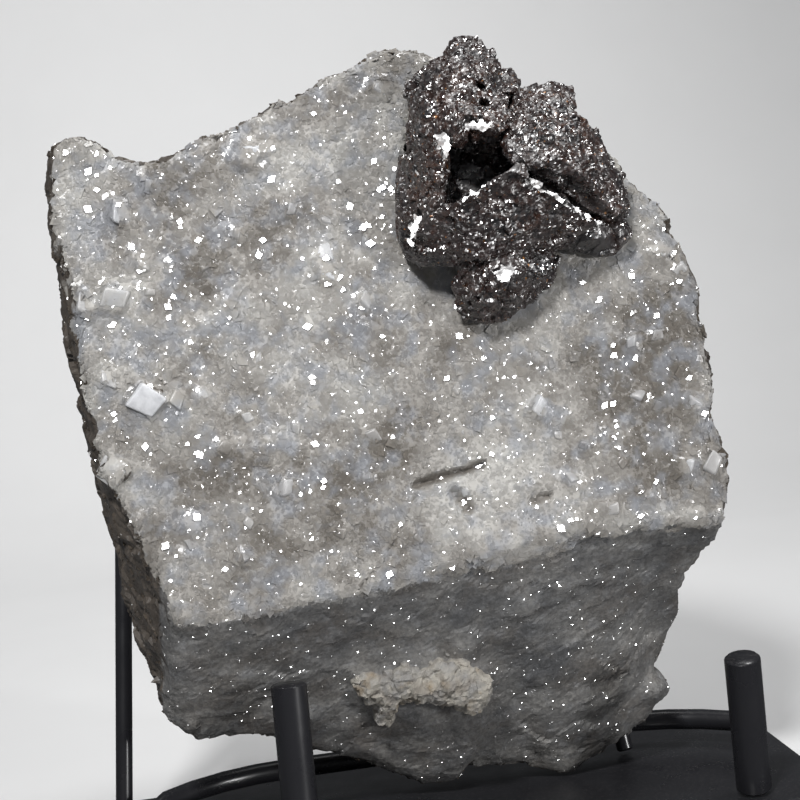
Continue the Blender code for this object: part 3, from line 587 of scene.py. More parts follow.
def white_rhombs():
    generator = random.Random(RHOMB_SEED)
    shapes = np.random.default_rng(RHOMB_SEED)
    verts = []
    places = RHOMBS + small_rhomb_places(generator)
    for x, y, edge in places:
        middle = float(swell([(x, y, 0)], FRONT_RELIEF, 7.0)[0]) - 0.16 * edge + 0.2
        turn = np.array(tilted(generator, 0.5))
        build = shapes.uniform(0.78, 1.12, 3) * edge
        corners = rhomb_corners() * build + shapes.normal(size=(8, 3)) * RHOMB_UNEVEN * edge
        verts.append(corners @ turn.T + (x, y, middle))
    faces = [[int(i) + 8 * n for i in face] for n in range(len(verts)) for face in RHOMB_FACES]
    mesh = bpy.data.meshes.new("white_rhombs")
    mesh.from_pydata(to_world(np.concatenate(verts)).tolist(), [], faces)
    piece = bpy.data.objects.new("white_rhombs", mesh)
    bpy.context.collection.objects.link(piece)
    bevel = piece.modifiers.new("worn_edges", "BEVEL")
    bevel.width = RHOMB_WEAR * MM
    bevel.segments = 3
    settle(piece)
    piece.data.shade_smooth()
    whiteness = RHOMB_WHITENESS + [generator.uniform(0.0, 0.4) for _ in range(SMALL_RHOMB_COUNT)]
    store(piece.data, "shade", np.repeat(whiteness, len(piece.data.vertices) // len(places)))
    store(piece.data, "tone", tone_at(to_stone(read_points(piece.data))))
    store(piece.data, "druse", np.ones(len(piece.data.vertices)))
    print("white rhombs:", len(places))
    return piece, places


rhombs, rhomb_places = white_rhombs()

# %% [markdown]
# On the stone the grains aren't all alike. There is a smoother, paler patch above the step where
# the crystals are fine as sugar, and elsewhere coarse and fine grains drift into each other. The
# grain size therefore comes from a slow noise field and from the distance to that patch. We grow
# a coarse, a medium and a fine generation. Nothing grows under the sphalerite or the white
# rhombs, or in the cracks.

# %% Grow the druse
DRUSE_EDGES = (0.4, 2.6)


def smooth_patch(local):
    """1 in the pale smooth patch of the druse, 0 outside it."""
    x, y = local[:, 0], local[:, 1]
    reach = np.hypot((x - 20.0 + 0.25 * y) / 21.0, (y + 23.0) / 15.0)
    return 1.0 - ramp(reach + swell(local, [(0.25, 8.0)], 5.0), 0.75, 1.1)


def under_sphalerite(local):
    reach = np.hypot((local[:, 0] - 28.0) / 24.0, (local[:, 1] - 56.0) / 22.0)
    return 1.0 - ramp(reach, 0.8, 1.0)


def under_rhombs(local):
    covered = np.zeros(len(local))
    for x, y, edge in rhomb_places:
        reach = np.hypot(local[:, 0] - x, local[:, 1] - y) / edge
        covered = np.maximum(covered, 1.0 - ramp(reach, 0.42, 0.62))
    return covered


def grow_druse(name, count, seed, mean_edge, spread, tilt):
    """One generation of crystals, their tops a little proud of the rock."""
    generator = np.random.default_rng(seed)
    local = to_stone(read_points(rock.data))
    open_rock = (1.0 - under_sphalerite(local)) * (1.0 - ramp(carved, 0.2, 0.5))
    open_rock *= 1.0 - under_rhombs(local)
    chance = ramp(druse, 0.2, 0.6) * open_rock
    where, normals, shares = spots_on(rock.data, chance, count, generator)
    place = to_stone(where)
    edges = mean_edge * np.exp(generator.normal(size=count) * spread)
    edges *= 1.0 + swell(place, [(0.5, 12.0), (0.35, 5.0)], 6.0)
    edges = np.clip(edges, *DRUSE_EDGES) * (1.0 - 0.4 * smooth_patch(place))
    flatness = generator.uniform(0.5, 1.0, count)
    proud = generator.uniform(0.0, 0.10, count) * (0.35 + 0.65 * edges)
    middle = proud - edges * flatness * RHOMB_SUNK
    turns = random_turns(generator, normals, tilt)
    where = where + normals * (middle * MM)[:, None]
    shades = generator.random(count)
    return crystal_piece(name, where, normals, turns, edges, flatness, shares, shades)


druse_pieces = [grow_druse("druse_coarse", 9000, 21, 1.2, 0.3, 0.13),
                grow_druse("druse_medium", 14500, 22, 0.85, 0.25, 0.17),
                grow_druse("druse_fine", 13000, 23, 0.6, 0.25, 0.22)]

# %% [markdown]
# The strongest flashes come from single crystals that happen to stand just so, up to one and a
# half millimetres wide on the druse and no more than pin points on the smooth fracture below it.
# We scatter a few hundred of each, turned to the flashing direction with a little error, and
# leave them standing a little proud. They crowd in some parts of the druse and thin out in
# others, as a slow noise field says. The broken sides get blunt grains that aren't aimed.

# %% Scatter the flashing crystals and the grains of the sides
def sprinkle(name, chance, count, seed, edge_range, power, tilt, aimed=False):
    """Single crystals where the chance is high. A high power makes large ones rare."""
    generator = np.random.default_rng(seed)
    where, normals, shares = spots_on(rock.data, chance, count, generator)
    low, high = edge_range
    edges = low + (high - low) * generator.random(count) ** power
    flatness = generator.uniform(0.5, 1.0, count)
    proud = generator.uniform(0.15, 0.35, count) if aimed else generator.uniform(0.0, 0.12, count)
    where = where + normals * ((proud - flatness * RHOMB_SUNK) * edges * MM)[:, None]
    facing = halfway(where) if aimed else normals
    turns = random_turns(generator, facing, tilt)
    shades = generator.random(count)
    return crystal_piece(name, where, normals, turns, edges, flatness, shares, shades)


FLASH_CROWDS = [(1.6, 16.0), (1.2, 6.0)]
local = to_stone(read_points(rock.data))
on_druse = ramp(druse, 0.6, 0.9) * (1.0 - under_sphalerite(local))
on_druse *= 0.25 + np.clip(swell(local, FLASH_CROWDS, 14.0), 0.0, 2.0)
on_lower = ramp(lower, 0.5, 0.9) * (1.0 - druse)
flashes = [sprinkle("flashes_druse", on_druse, 430, 41, (0.3, 0.9), 1.8, 0.045, True),
           sprinkle("bright_flashes_druse", on_druse, 90, 43, (0.9, 1.6), 1.4, 0.015, True),
           sprinkle("flashes_lower_face", on_lower, 430, 42, (0.16, 0.42), 2.0, 0.045, True)]
on_sides = (1.0 - np.maximum(druse, lower)) * near_plate
grains_sides = sprinkle("grains_broken_sides", on_sides, 6000, 32, (0.6, 1.5), 1.5, 0.3)

# %% [markdown]
# Sphalerite crystals grow as tetrahedra that crowd into each other, and on this specimen their
# faces are etched into countless steps. We take the solid's big blocks, cover them with a very
# fine net, and tilt small cells of it, each by its own random slope, like roof tiles, with the
# same helper that broke up the rock. Cells of three sizes give the big broken planes, the steps
# on them and the glitter. A few faces stay glassy. A bump map would look right from afar but
# would leave the outline smooth.

# %% Cut facets into the sphalerite
# Widths and slopes of the cells
FACETS = [(6.0, 0.20), (2.6, 0.24), (1.25, 0.28)]
FACET_LIMITS = (-1.4, 1.0)
# Where the small facets are nearly gone: middle and reach of each soft spot on the front
GLASSY = [(50, 38, 9, 4), (24, 30, 6, 2), (20, 52, 7, 7), (30, 48, 5, 2), (44, 44, 6, 2)]


def etched_share(local):
    """1 where the faces are etched, 0 where they are glassy."""
    glass = np.zeros(len(local))
    for oval in GLASSY:
        glass = np.maximum(glass, spot(local, *oval))
    return 1.0 - ramp(glass + swell(local, [(0.35, 5.0)], 12.0), 0.45, 0.75)


def cut_facets(mesh, etched):
    """The net's points after the tilting. The cluster's foot in the rock stays as it is."""
    points = read_points(mesh)
    local = to_stone(points)
    facing = read_normals(mesh) @ AXES.T
    height = np.zeros(len(local))
    for number, (width, slope) in enumerate(FACETS):
        share = 1.0 if width == FACETS[0][0] else 0.15 + 0.85 * etched
        height += facet_heights(local, facing, width, slope, 2.0 + number) * share
    height = np.clip(height, *FACET_LIMITS)
    print("facets stand", height.min().round(2), "to", height.max().round(2), "mm off the blocks")
    above_foot = ramp(local[:, 2], 1.5, 3.5)
    return points + (facing @ AXES) * (height * above_foot * MM)[:, None]


ore = fine_copy("sphalerite", "sphalerite_cluster", 0.46)
relax(ore.data, np.full(len(ore.data.vertices), 0.35), 1)
etched = etched_share(to_stone(read_points(ore.data)))
ore_points = cut_facets(ore.data, etched)

# %% [markdown]
# A long bright edge and five shorter ones give the cluster its character: cleavage breaks that
# lie just so that they mirror the lamp. We plane a narrow, ragged flat along each such edge,
# square to the direction halfway between the lamp and the viewer. A flat that runs down a ridge
# can't stand square to it in full, so the mesh also stores that direction, and the finish leans
# the shading of the flats towards it. From other sides they are ordinary broken edges.

# %% Plane the bright edges
# Each edge: the points of its line in the stone's frame, the flat's reach and its depth
BRIGHT_EDGES = [([(26.5, 51.0, 25.6), (31.0, 47.0, 25.4), (39.0, 43.7, 21.2), (46.0, 41.0, 17.0)],
                 1.3, 2.2),
                ([(23.5, 27.6, 17.6), (25.5, 28.2, 17.2)], 2.3, 1.2),
                ([(8.6, 59.5, 22.6), (10.4, 55.2, 22.6)], 1.5, 1.6),
                ([(15.0, 62.0, 23.4), (18.6, 61.4, 23.8)], 1.6, 1.5),
                ([(2.6, 37.6, 10.6), (3.2, 41.6, 14.0)], 1.5, 1.6),
                ([(13.2, 44.4, 24.4), (19.5, 49.0, 26.6)], 0.9, 1.4)]
DEEPEST_CUT = 2.5
RAGGED = [(0.9, 1.7)]
# Where the body is warmer: middle, reach and strength of each soft spot on the front
AMBER = [(40, 62, 14, 12, 1.0), (16, 70, 12, 12, 0.8), (6, 50, 6, 12, 0.9), (28, 40, 12, 5, 0.6),
         (20, 22, 9, 5, 0.6), (50, 44, 6, 4, 0.6)]


def plane_edge(local, line, reach, depth):
    """Cut a narrow flat along the line, square to the halfway direction."""
    for start, end in zip(np.array(line, float), np.array(line[1:], float)):
        mirror = AXES @ halfway(to_world((start + end) / 2))
        run = end - start
        along = np.clip((local - start) @ run / (run @ run), 0.0, 1.0)
        offset = local - start - along[:, None] * run
        proud = offset @ mirror + depth
        ragged = reach * (1.0 + swell(local, RAGGED, 21.0))
        near = np.linalg.norm(offset - (offset @ mirror)[:, None] * mirror, axis=1) < ragged
        cut = np.where(near & (proud > 0.0) & (proud < depth + DEEPEST_CUT), proud, 0.0)
        local = local - cut[:, None] * mirror
    return local


local = to_stone(ore_points)
flats = np.zeros(len(local))
for line, reach, depth in BRIGHT_EDGES:
    planed = plane_edge(local, line, reach, depth)
    moved = (planed != local).any(axis=1)
    flats[moved] = 1.0
    print("planed", int(moved.sum()), "vertices near", line[0])
    local = planed
low, high = (np.array(corner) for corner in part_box("sphalerite"))
write_points(ore.data, np.clip(to_world(local), low, high))
amber = sum(amount * spot(local, *oval) for *oval, amount in AMBER)
store(ore.data, "amber", np.clip(amber, 0.0, 1.0))
store(ore.data, "polish", np.maximum(flats, 0.7 * (1.0 - etched)))
store(ore.data, "planed", flats)
store_vector(ore.data, "mirror", halfway(to_world(local)))

# %% [markdown]
# Now the finishes. All of them are built from nodes, so a small helper that adds a node and
# wires its inputs keeps each material short enough to read. Every pattern is measured in
# millimetres of the real stone by scaling the object's own coordinates. One small trap: a mix
# node hides inputs of the same name for numbers and for colours, so the helper finds the colour
# ones by their type.

# %% Helpers for node materials
class Finish:
    """A material with a Principled shader, and short ways to add nodes to it."""

    def __init__(self, name):
        self.material = bpy.data.materials.new(name)
        self.material.use_nodes = True
        self.tree = self.material.node_tree
        self.shader = self.tree.nodes["Principled BSDF"]
        coordinates = self.tree.nodes.new("ShaderNodeTexCoord")
        self.place = coordinates.outputs["Object"]

    def put(self, socket, value):
        if isinstance(value, bpy.types.NodeSocket):
            self.tree.links.new(value, socket)
        else:
            socket.default_value = value

    def set(self, **values):
        for name, value in values.items():
            self.put(self.shader.inputs[name.replace("_", " ")], value)

    def noise(self, width, detail=4.0, rough=0.55):
        node = self.tree.nodes.new("ShaderNodeTexNoise")
        self.put(node.inputs["Vector"], self.place)
        self.put(node.inputs["Scale"], 1.0 / (width * MM))
        self.put(node.inputs["Detail"], detail)
        self.put(node.inputs["Roughness"], rough)
        return node.outputs["Fac"]

    def cells(self, width, output="Distance"):
        node = self.tree.nodes.new("ShaderNodeTexVoronoi")
        self.put(node.inputs["Vector"], self.place)
        self.put(node.inputs["Scale"], 1.0 / (width * MM))
        return node.outputs[output]

    def attribute(self, name):
        node = self.tree.nodes.new("ShaderNodeAttribute")
        node.attribute_name = name
        return node.outputs["Fac"]

    def between(self, value, low, high, first=0.0, last=1.0):
        node = self.tree.nodes.new("ShaderNodeMapRange")
        for slot, given in zip(("Value", "From Min", "From Max", "To Min", "To Max"),
                               (value, low, high, first, last)):
            self.put(node.inputs[slot], given)
        return node.outputs["Result"]

    def maths(self, operation, first, second):
        node = self.tree.nodes.new("ShaderNodeMath")
        node.operation = operation
        self.put(node.inputs[0], first)
        self.put(node.inputs[1], second)
        return node.outputs[0]

    def mix(self, factor, first, second):
        node = self.tree.nodes.new("ShaderNodeMix")
        node.data_type = "RGBA"
        self.put(node.inputs[0], factor)
        colours = [socket for socket in node.inputs if socket.type == "RGBA"]
        for socket, value in zip(colours, (first, second)):
            self.put(socket, (*value, 1.0) if isinstance(value, tuple) else value)
        return [socket for socket in node.outputs if socket.type == "RGBA"][0]

    def vector(self, operation, first, second):
        node = self.tree.nodes.new("ShaderNodeVectorMath")
        node.operation = operation
        self.put(node.inputs[0], first)
        self.put(node.inputs["Scale" if operation == "SCALE" else 1], second)
        return node.outputs[0]

    def lean(self, facing, stored, share):
        """Blend a direction with one that the mesh stores."""
        other = self.tree.nodes.new("ShaderNodeAttribute")
        other.attribute_name = stored
        facing = self.vector("SCALE", facing, self.maths("SUBTRACT", 1.0, share))
        return self.vector("ADD", facing, self.vector("SCALE", other.outputs["Vector"], share))

    def facets(self, widths, amount, target, mirrored=None):
        """Tilt the shading of small cells, each its own way, as countless crystal faces do."""
        facing = self.tree.nodes.new("ShaderNodeNewGeometry").outputs["Normal"]
        for width in widths:
            turn = self.vector("SUBTRACT", self.cells(width, "Color"), (0.5, 0.5, 0.5))
            facing = self.vector("ADD", facing, self.vector("SCALE", turn, amount))
        if mirrored:
            facing = self.lean(facing, "mirror", mirrored)
        self.put(self.shader.inputs[target], self.vector("NORMALIZE", facing, (0.0, 0.0, 0.0)))

    def face_like_ground(self, share):
        """Turn the body's shading part of the way from each face to the rock under the crystal."""
        face = self.tree.nodes.new("ShaderNodeNewGeometry").outputs["Normal"]
        both = self.lean(face, "ground", share)
        self.put(self.shader.inputs["Normal"], self.vector("NORMALIZE", both, (0.0, 0.0, 0.0)))

    def bump(self, height, depth, strength):
        node = self.tree.nodes.new("ShaderNodeBump")
        self.put(node.inputs["Height"], height)
        self.put(node.inputs["Distance"], depth * MM)
        self.put(node.inputs["Strength"], strength)
        self.put(self.shader.inputs["Normal"], node.outputs["Normal"])


print("finish helpers are ready")

# %% [markdown]
# The colour of the stone is one recipe in four parts: the druse, from grey-brown to cream by its
# stored tone; the dark smooth fracture below it; the beige crust; and broken rock on the sides
# and back, brown-grey but made very dark, partly as painted shade as if it all lay in shadow.
# Rock and crystals share the recipe, which is what makes the crystals look grown rather than
# glued on. On top lies a thin clear coat whose shading is broken into cells half a millimetre
# wide, each tilted its own way. It stands for crystal faces too small to model, and it glitters
# from every side without making the stone look rough. Under the coat a druse crystal is shaded
# partly as the rock it stands on, since light wanders through clear crystals and evens out their
# sides.

# %% The stone's colours
DRUSE_DARK = (0.122, 0.110, 0.096)
DRUSE_MIDDLE = (0.240, 0.227, 0.208)
DRUSE_PALE = (0.350, 0.340, 0.318)
DRUSE_BLUE = (0.212, 0.224, 0.248)
LOWER_DARK = (0.066, 0.067, 0.070)
LOWER_PALE = (0.215, 0.208, 0.196)
LOWER_BROWN = (0.092, 0.079, 0.067)
CRUST_PALE = (0.300, 0.280, 0.245)
CRUST_GREY = (0.215, 0.208, 0.198)
CRUST_BROWN = (0.225, 0.170, 0.105)
# Painted shade for the creases between the crust's knobs
CRUST_CREASE_SHADE = (0.130, 0.110, 0.090)
# Brown-grey broken rock, made darker still as painted shade, as if every side lay in shadow
BROKEN_DARK_SHADED = (0.032, 0.025, 0.019)
BROKEN_PALE_SHADED = (0.085, 0.070, 0.056)
LOWER_HAZE = (0.200, 0.205, 0.215)
LOWER_FLECK = (0.035, 0.034, 0.034)
BRIGHT_CRYSTAL = (0.600, 0.600, 0.600)
DIM_CRYSTAL = (0.130, 0.118, 0.105)
FLAKE = (0.300, 0.300, 0.300)
DOLOMITE_IOR = 1.68


def druse_colour(finish, tone):
    dark_to_middle = finish.between(tone, -0.9, 0.0)
    middle_to_pale = finish.between(tone, 0.0, 0.9)
    bluish = finish.between(finish.noise(6.0, 2.0), 0.48, 0.68, 0.0, 0.7)
    colour = finish.mix(dark_to_middle, DRUSE_DARK, DRUSE_MIDDLE)
    colour = finish.mix(middle_to_pale, colour, DRUSE_PALE)
    return finish.mix(bluish, colour, DRUSE_BLUE)


def lower_colour(finish, tone):
    brownish = finish.between(finish.noise(11.0, 4.0), 0.48, 0.66, 0.0, 0.6)
    haze = finish.between(finish.noise(3.5, 6.0, 0.7), 0.50, 0.72, 0.0, 0.6)
    flecks = finish.between(finish.noise(1.0, 4.0, 0.7), 0.58, 0.42, 0.0, 0.45)
    colour = finish.mix(finish.between(tone, -0.9, 1.1), LOWER_DARK, LOWER_PALE)
    colour = finish.mix(brownish, colour, LOWER_BROWN)
    colour = finish.mix(haze, colour, LOWER_HAZE)
    return finish.mix(flecks, colour, LOWER_FLECK)


def crust_colour(finish):
    grey = finish.between(finish.noise(6.0, 3.0), 0.45, 0.6)
    brown = finish.between(finish.noise(5.0, 4.0), 0.56, 0.72, 0.0, 0.8)
    # Painted shade: the crust is darkened where its knobs sink into creases
    crease_shade = finish.between(finish.attribute("creases"), 0.75, 0.3, 0.0, 0.45)
    colour = finish.mix(grey, CRUST_PALE, CRUST_GREY)
    colour = finish.mix(brown, colour, CRUST_BROWN)
    return finish.mix(crease_shade, colour, CRUST_CREASE_SHADE)


def stone_colour(finish):
    """The recipe for rock and crystals: the stored shares choose among its four parts."""
    drift = finish.between(finish.noise(1.8, 3.0), 0.3, 0.7, -0.14, 0.14)
    tone = finish.maths("ADD", finish.attribute("tone"), drift)
    brown_to_grey = finish.between(finish.noise(12.0, 5.0, 0.6), 0.35, 0.65)
    # The broken rock's colour carries painted shade
    broken = finish.mix(brown_to_grey, BROKEN_DARK_SHADED, BROKEN_PALE_SHADED)
    on_lower = finish.between(finish.attribute("lower"), 0.35, 0.65)
    on_druse = finish.between(finish.attribute("druse"), 0.3, 0.55)
    colour = finish.mix(on_lower, broken, lower_colour(finish, tone))
    colour = finish.mix(on_druse, colour, druse_colour(finish, tone))
    return finish.mix(finish.attribute("crust"), colour, crust_colour(finish))


def crystal_finish(name, spread, subsurface):
    """Stone colour with some brighter and dimmer crystals, and light in them where asked."""
    finish = Finish(name)
    shade = finish.attribute("shade")
    brighter = finish.between(shade, 0.6, 1.0, 0.0, spread)
    dimmer = finish.between(shade, 0.3, 0.0, 0.0, spread)
    colour = finish.mix(brighter, stone_colour(finish), BRIGHT_CRYSTAL)
    colour = finish.mix(dimmer, colour, DIM_CRYSTAL)
    dust = finish.between(finish.noise(0.7, 3.0), 0.35, 0.7, 0.10, 0.25)
    finish.set(Base_Color=colour, Roughness=dust, IOR=DOLOMITE_IOR)
    if subsurface:
        finish.set(Subsurface_Weight=subsurface, Subsurface_Scale=2.0 * MM, Specular_IOR_Level=0.15)
        finish.shader.inputs["Subsurface Radius"].default_value = (1.0, 0.95, 0.85)
        finish.face_like_ground(0.88)
    return finish


druse_finish = crystal_finish("druse_crystal", 0.07, 0.35)
druse_finish.set(Coat_Weight=0.10, Coat_Roughness=0.09, Coat_IOR=DOLOMITE_IOR)
druse_finish.facets((0.6,), 0.8, "Coat Normal")
grain_finish = crystal_finish("clear_grain", 0.0, 0.0)
for piece in druse_pieces:
    piece.data.materials.append(druse_finish.material)
for piece in flashes + [grains_sides]:
    piece.data.materials.append(grain_finish.material)


def rock_material():
    finish = Finish("dolomite_rock")
    flakes = finish.between(finish.cells(0.8), 0.3, 0.05, 0.0, 0.1)
    wear = finish.between(finish.noise(0.7, 3.0), 0.3, 0.7, 0.4, 0.7)
    finish.set(Base_Color=finish.mix(flakes, stone_colour(finish), FLAKE), Roughness=wear, IOR=1.6,
               Coat_Weight=0.5, Coat_Roughness=0.1, Coat_IOR=1.6)
    finish.facets((0.5,), 1.3, "Coat Normal")
    bare = finish.between(finish.attribute("druse"), 0.0, 1.0, 0.7, 0.06)
    finish.bump(finish.noise(0.9, 5.0, 0.7), 0.2, bare)
    return finish.material


def crust_material():
    finish = Finish("beige_crust")
    chalky = finish.between(finish.noise(1.0, 4.0), 0.3, 0.7, 0.5, 0.9)
    finish.set(Base_Color=stone_colour(finish), Roughness=chalky, IOR=1.5)
    finish.bump(finish.noise(0.6, 6.0, 0.75), 0.35, 1.0)
    return finish.material


rock.data.materials.append(rock_material())
crust.data.materials.append(crust_material())
print("stone finish is set")

# %% [markdown]
# The white rhombs are milky. Light enters them and scatters, so they get a little subsurface
# light in place of clearness, and a fine cloudiness that runs through the whole crystal.

# %% Milky finish of the white rhombs
MILK_WHITE = (0.520, 0.525, 0.540)
MILK_GREY = (0.380, 0.385, 0.400)


def milk_material():
    finish = Finish("milky_dolomite")
    clouds = finish.between(finish.noise(1.8, 5.0, 0.6), 0.35, 0.7)
    white = finish.mix(clouds, MILK_WHITE, MILK_GREY)
    colour = finish.mix(finish.attribute("shade"), stone_colour(finish), white)
    wear = finish.between(finish.noise(0.8), 0.3, 0.7, 0.3, 0.5)
    finish.set(Base_Color=colour, Roughness=wear, IOR=1.5,
               Subsurface_Weight=0.8, Subsurface_Scale=2.0 * MM)
    finish.shader.inputs["Subsurface Radius"].default_value = (1.0, 1.0, 1.0)
    finish.bump(finish.noise(0.6, 3.0), 0.05, 0.4)
    return finish.material


rhombs.data.materials.append(milk_material())
print("rhomb finish is set")

# %% [markdown]
# Sphalerite shines like lacquer: its index of refraction is 2.37, near that of diamond, so even
# a dark crystal throws bright reflections. We set that index on the shader and keep the body
# colour almost black-brown. Small drifts of red, amber and yellow stand for light that comes
# back out of thin edges. The unrest of the surface and its roughness drift too, so that some
# faces mirror the lamp and their neighbours only gleam.

# %% Finish of the sphalerite
SPHALERITE_IOR = 2.37
ORE_BLACK = (0.005, 0.004, 0.005)
ORE_BROWN = (0.020, 0.009, 0.007)
ORE_AMBER = (0.055, 0.024, 0.014)
SPOT_RED = (0.300, 0.060, 0.020)
SPOT_YELLOW = (0.450, 0.250, 0.050)
LEAN_TO_LAMP = 0.92


def ore_colour(finish):
    brownish = finish.between(finish.noise(9.0, 4.0), 0.35, 0.65)
    drift = finish.between(finish.noise(1.6, 4.0, 0.6), 0.45, 0.65)
    warm = finish.maths("MULTIPLY", finish.attribute("amber"), drift)
    spots = finish.between(finish.noise(1.1, 2.0), 0.68, 0.76, 0.0, 0.9)
    colour = finish.mix(warm, finish.mix(brownish, ORE_BLACK, ORE_BROWN), ORE_AMBER)
    return finish.mix(spots, colour, finish.mix(finish.noise(3.0), SPOT_RED, SPOT_YELLOW))


def ore_material():
    finish = Finish("sphalerite")
    polish = finish.attribute("polish")
    etched = finish.between(finish.cells(1.0, "Color"), 0.3, 0.7, 0.17, 0.44)
    smeared = finish.between(finish.noise(2.2, 3.0), 0.38, 0.62, 0.24, 0.66)
    finish.set(Base_Color=ore_colour(finish), Roughness=finish.mix(polish, etched, smeared),
               IOR=SPHALERITE_IOR)
    unrest = finish.between(finish.noise(4.5, 3.0), 0.38, 0.62, 0.17, 0.62)
    calm = finish.between(polish, 0.0, 1.0, 1.0, 0.35)
    to_lamp = finish.maths("MULTIPLY", finish.attribute("planed"), LEAN_TO_LAMP)
    finish.facets((0.7, 1.7), finish.maths("MULTIPLY", unrest, calm), "Normal", to_lamp)
    return finish.material


ore.data.materials.append(ore_material())
print("sphalerite finish is set")

# %% [markdown]
# The stand is black metal with a satin gloss, which spreads each lamp into a soft stripe along
# the rods. The plate is a touch duller. Metal in a display case is never perfectly clean: smears
# change its gloss from place to place, and fine dust lifts the colour on faces that look up.

# %% Finish of the stand
BLACK_PAINT = (0.012, 0.012, 0.014)
DUST = (0.200, 0.190, 0.180)


def black_finish(name, gloss, dust_share):
    """Black paint with smears that change its gloss, and dust on faces that look up."""
    finish = Finish(name)
    geometry = finish.tree.nodes.new("ShaderNodeNewGeometry")
    split = finish.tree.nodes.new("ShaderNodeSeparateXYZ")
    finish.put(split.inputs[0], geometry.outputs["Normal"])
    upward = finish.between(split.outputs["Z"], 0.2, 1.0)
    specks = finish.between(finish.noise(0.8, 6.0, 0.7), 0.55, 0.75)
    dust = finish.maths("MULTIPLY", finish.maths("MULTIPLY", upward, specks), dust_share)
    smear = finish.between(finish.noise(14.0, 4.0), 0.3, 0.7, gloss * 0.8, gloss * 1.35)
    finish.set(Base_Color=finish.mix(dust, BLACK_PAINT, DUST), Roughness=smear, IOR=1.45)
    finish.bump(finish.noise(3.0, 5.0), 0.03, 0.25)
    return finish.material


rod_coat = black_finish("black_gloss_rod", 0.27, 0.3)
plate_coat = black_finish("black_plate", 0.3, 0.4)
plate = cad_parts["base_plate"]
plate.data.materials.clear()
plate.data.materials.append(plate_coat)
print("stand finish is set")

# %% [markdown]
# The rods' solids are prisms of eighteen flat sides, which show as stripes in a gloss finish. A
# round rod throws one thin bright line. We copy each rod, weld its corners and shade it smooth
# except across its sharp end edges: the shape stays the same and only the shading turns round.

# %% Round off the rods
ROD_NAMES = ["front_post_left", "front_post_right", "back_upright_left", "back_upright_right",
             "rear_bar"]


def round_rod(node):
    rod = bpy.data.objects.new("round_" + node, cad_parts[node].data.copy())
    bpy.context.collection.objects.link(rod)
    net = bmesh.new()
    net.from_mesh(rod.data)
    bmesh.ops.remove_doubles(net, verts=net.verts, dist=0.01 * MM)
    net.to_mesh(rod.data)
    net.free()
    rod.data.shade_smooth()
    rod.data.set_sharp_from_angle(angle=math.radians(25.0))
    rod.data.materials.clear()
    rod.data.materials.append(rod_coat)
    return rod


rods = {name: round_rod(name) for name in ROD_NAMES}
print("rounded:", sorted(rods))

# %% [markdown]
# Each new piece hangs on the root body, and the solid it replaces is hidden. The stone and its
# stand are one rigid body, so everything rides on the root.

# %% Hang the pieces on the root and hide the solids
for piece in [rock, crust, rhombs, grains_sides] + flashes + druse_pieces:
    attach(piece, "root")
    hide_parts("matrix")
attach(ore, "root")
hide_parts("sphalerite")
for name, rod in rods.items():
    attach(rod, "root")
    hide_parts(name)

# %% [markdown]
# A studio sweep is a floor that curves up into a wall, so that no horizon shows. It isn't part
# of the object. The specimen was photographed on black, and a pale floor mirrored in its glossy
# faces would lay a grey veil over them. So the sweep gives light and takes shadows, but glossy
# faces don't mirror it.

# %% Floor and backdrop
SWEEP_FRONT = -1.2
SWEEP_BEND = 0.45
SWEEP_RADIUS = 0.35
SWEEP_TOP = (0.82, 1.6)
SWEEP_HALF_WIDTH = 1.8
PAPER_GREY = (0.620, 0.620, 0.620)
PAPER_WHITE = (0.660, 0.660, 0.660)


def make_sweep():
    curve = [(SWEEP_BEND + SWEEP_RADIUS * math.sin(angle), SWEEP_RADIUS * (1 - math.cos(angle)))
             for angle in np.linspace(0.1, 1.45, 12)]
    profile = [(SWEEP_FRONT, 0.0), (SWEEP_BEND, 0.0)] + curve + [SWEEP_TOP]
    verts = [(x, y, z) for y, z in profile for x in (-SWEEP_HALF_WIDTH, SWEEP_HALF_WIDTH)]
    faces = [(i, i + 1, i + 3, i + 2) for i in range(0, len(verts) - 2, 2)]
    mesh = bpy.data.meshes.new("sweep")
    mesh.from_pydata(verts, [], faces)
    mesh.shade_smooth()
    sweep = bpy.data.objects.new("sweep", mesh)
    bpy.context.collection.objects.link(sweep)
    paper = Finish("pale_paper")
    colour = paper.mix(paper.noise(60.0), PAPER_GREY, PAPER_WHITE)
    paper.set(Base_Color=colour, Roughness=0.9)
    mesh.materials.append(paper.material)
    sweep.visible_glossy = False


make_sweep()
print("sweep is in place")

# %% [markdown]
# A druse only sparkles when some lamp is small enough to be mirrored by single faces. So the
# light is a key from above on the left, a smaller one from the right that reaches the lower
# face, a third from the top, and a dim even sky that keeps the shadows open. The last lamp looks
# away from the specimen and only keeps the backdrop pale.

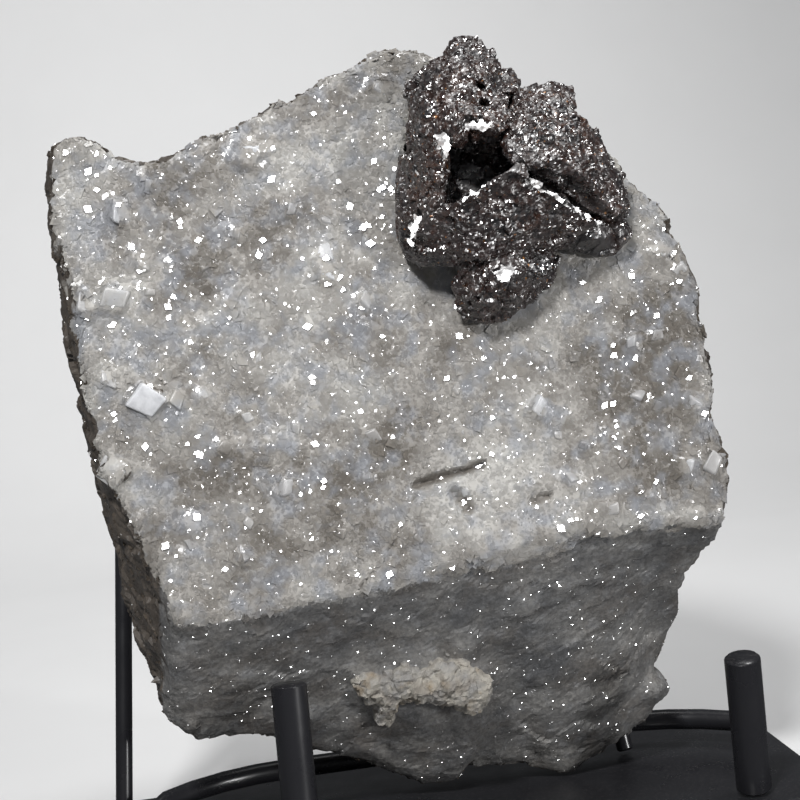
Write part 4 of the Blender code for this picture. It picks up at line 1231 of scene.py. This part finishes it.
# %% Lamps
SKY_COLOUR = (0.92, 0.95, 1.0, 1.0)
SKY_STRENGTH = 0.09


def lamp(name, offset, size, power, target=STONE_CENTRE, spread=70.0):
    light = bpy.data.lights.new(name, "AREA")
    light.shape = "DISK"
    light.size = size
    light.energy = power
    light.spread = math.radians(spread)
    holder = bpy.data.objects.new(name, light)
    bpy.context.collection.objects.link(holder)
    place = STONE_CENTRE + Vector(offset)
    holder.location = place
    holder.rotation_euler = (place - target).to_track_quat("Z", "Y").to_euler()


lamp("key", KEY_OFFSET, 0.13, 1.35)
lamp("side", (0.60, -0.62, 0.04), 0.06, 0.62)
lamp("top", (0.30, -0.10, 0.85), 0.20, 0.5)
lamp("backdrop", (0.0, 0.25, 0.75), 0.5, 3.0, Vector((0.0, 0.85, 0.1)), 120.0)
sky = bpy.data.worlds.new("studio")
sky.use_nodes = True
sky.node_tree.nodes["Background"].inputs["Color"].default_value = SKY_COLOUR
sky.node_tree.nodes["Background"].inputs["Strength"].default_value = SKY_STRENGTH
bpy.context.scene.world = sky
print("lamps are lit")

# %% [markdown]
# The camera repeats the photograph's view: a long lens half a metre away, a little to the left,
# looking slightly down and rolled by six degrees.

# %% Camera
LENS = 100.0
SENSOR = 36.0


def make_camera():
    forward = -Vector(toward_viewer())
    level = Vector((math.cos(CAMERA_AZIMUTH), -math.sin(CAMERA_AZIMUTH), 0.0))
    above = level.cross(forward)
    up = above * math.cos(CAMERA_ROLL) + level * math.sin(CAMERA_ROLL)
    right = level * math.cos(CAMERA_ROLL) - above * math.sin(CAMERA_ROLL)
    camera = bpy.data.objects.new("camera", bpy.data.cameras.new("camera"))
    bpy.context.collection.objects.link(camera)
    camera.data.lens = LENS
    camera.data.sensor_width = SENSOR
    camera.data.clip_start = 0.01
    pose = Matrix((right, up, -forward)).transposed().to_4x4()
    pose.translation = STONE_CENTRE - forward * CAMERA_DISTANCE
    camera.matrix_world = pose
    bpy.context.scene.camera = camera


make_camera()
bpy.context.scene.view_settings.view_transform = "Standard"
print("camera is set")
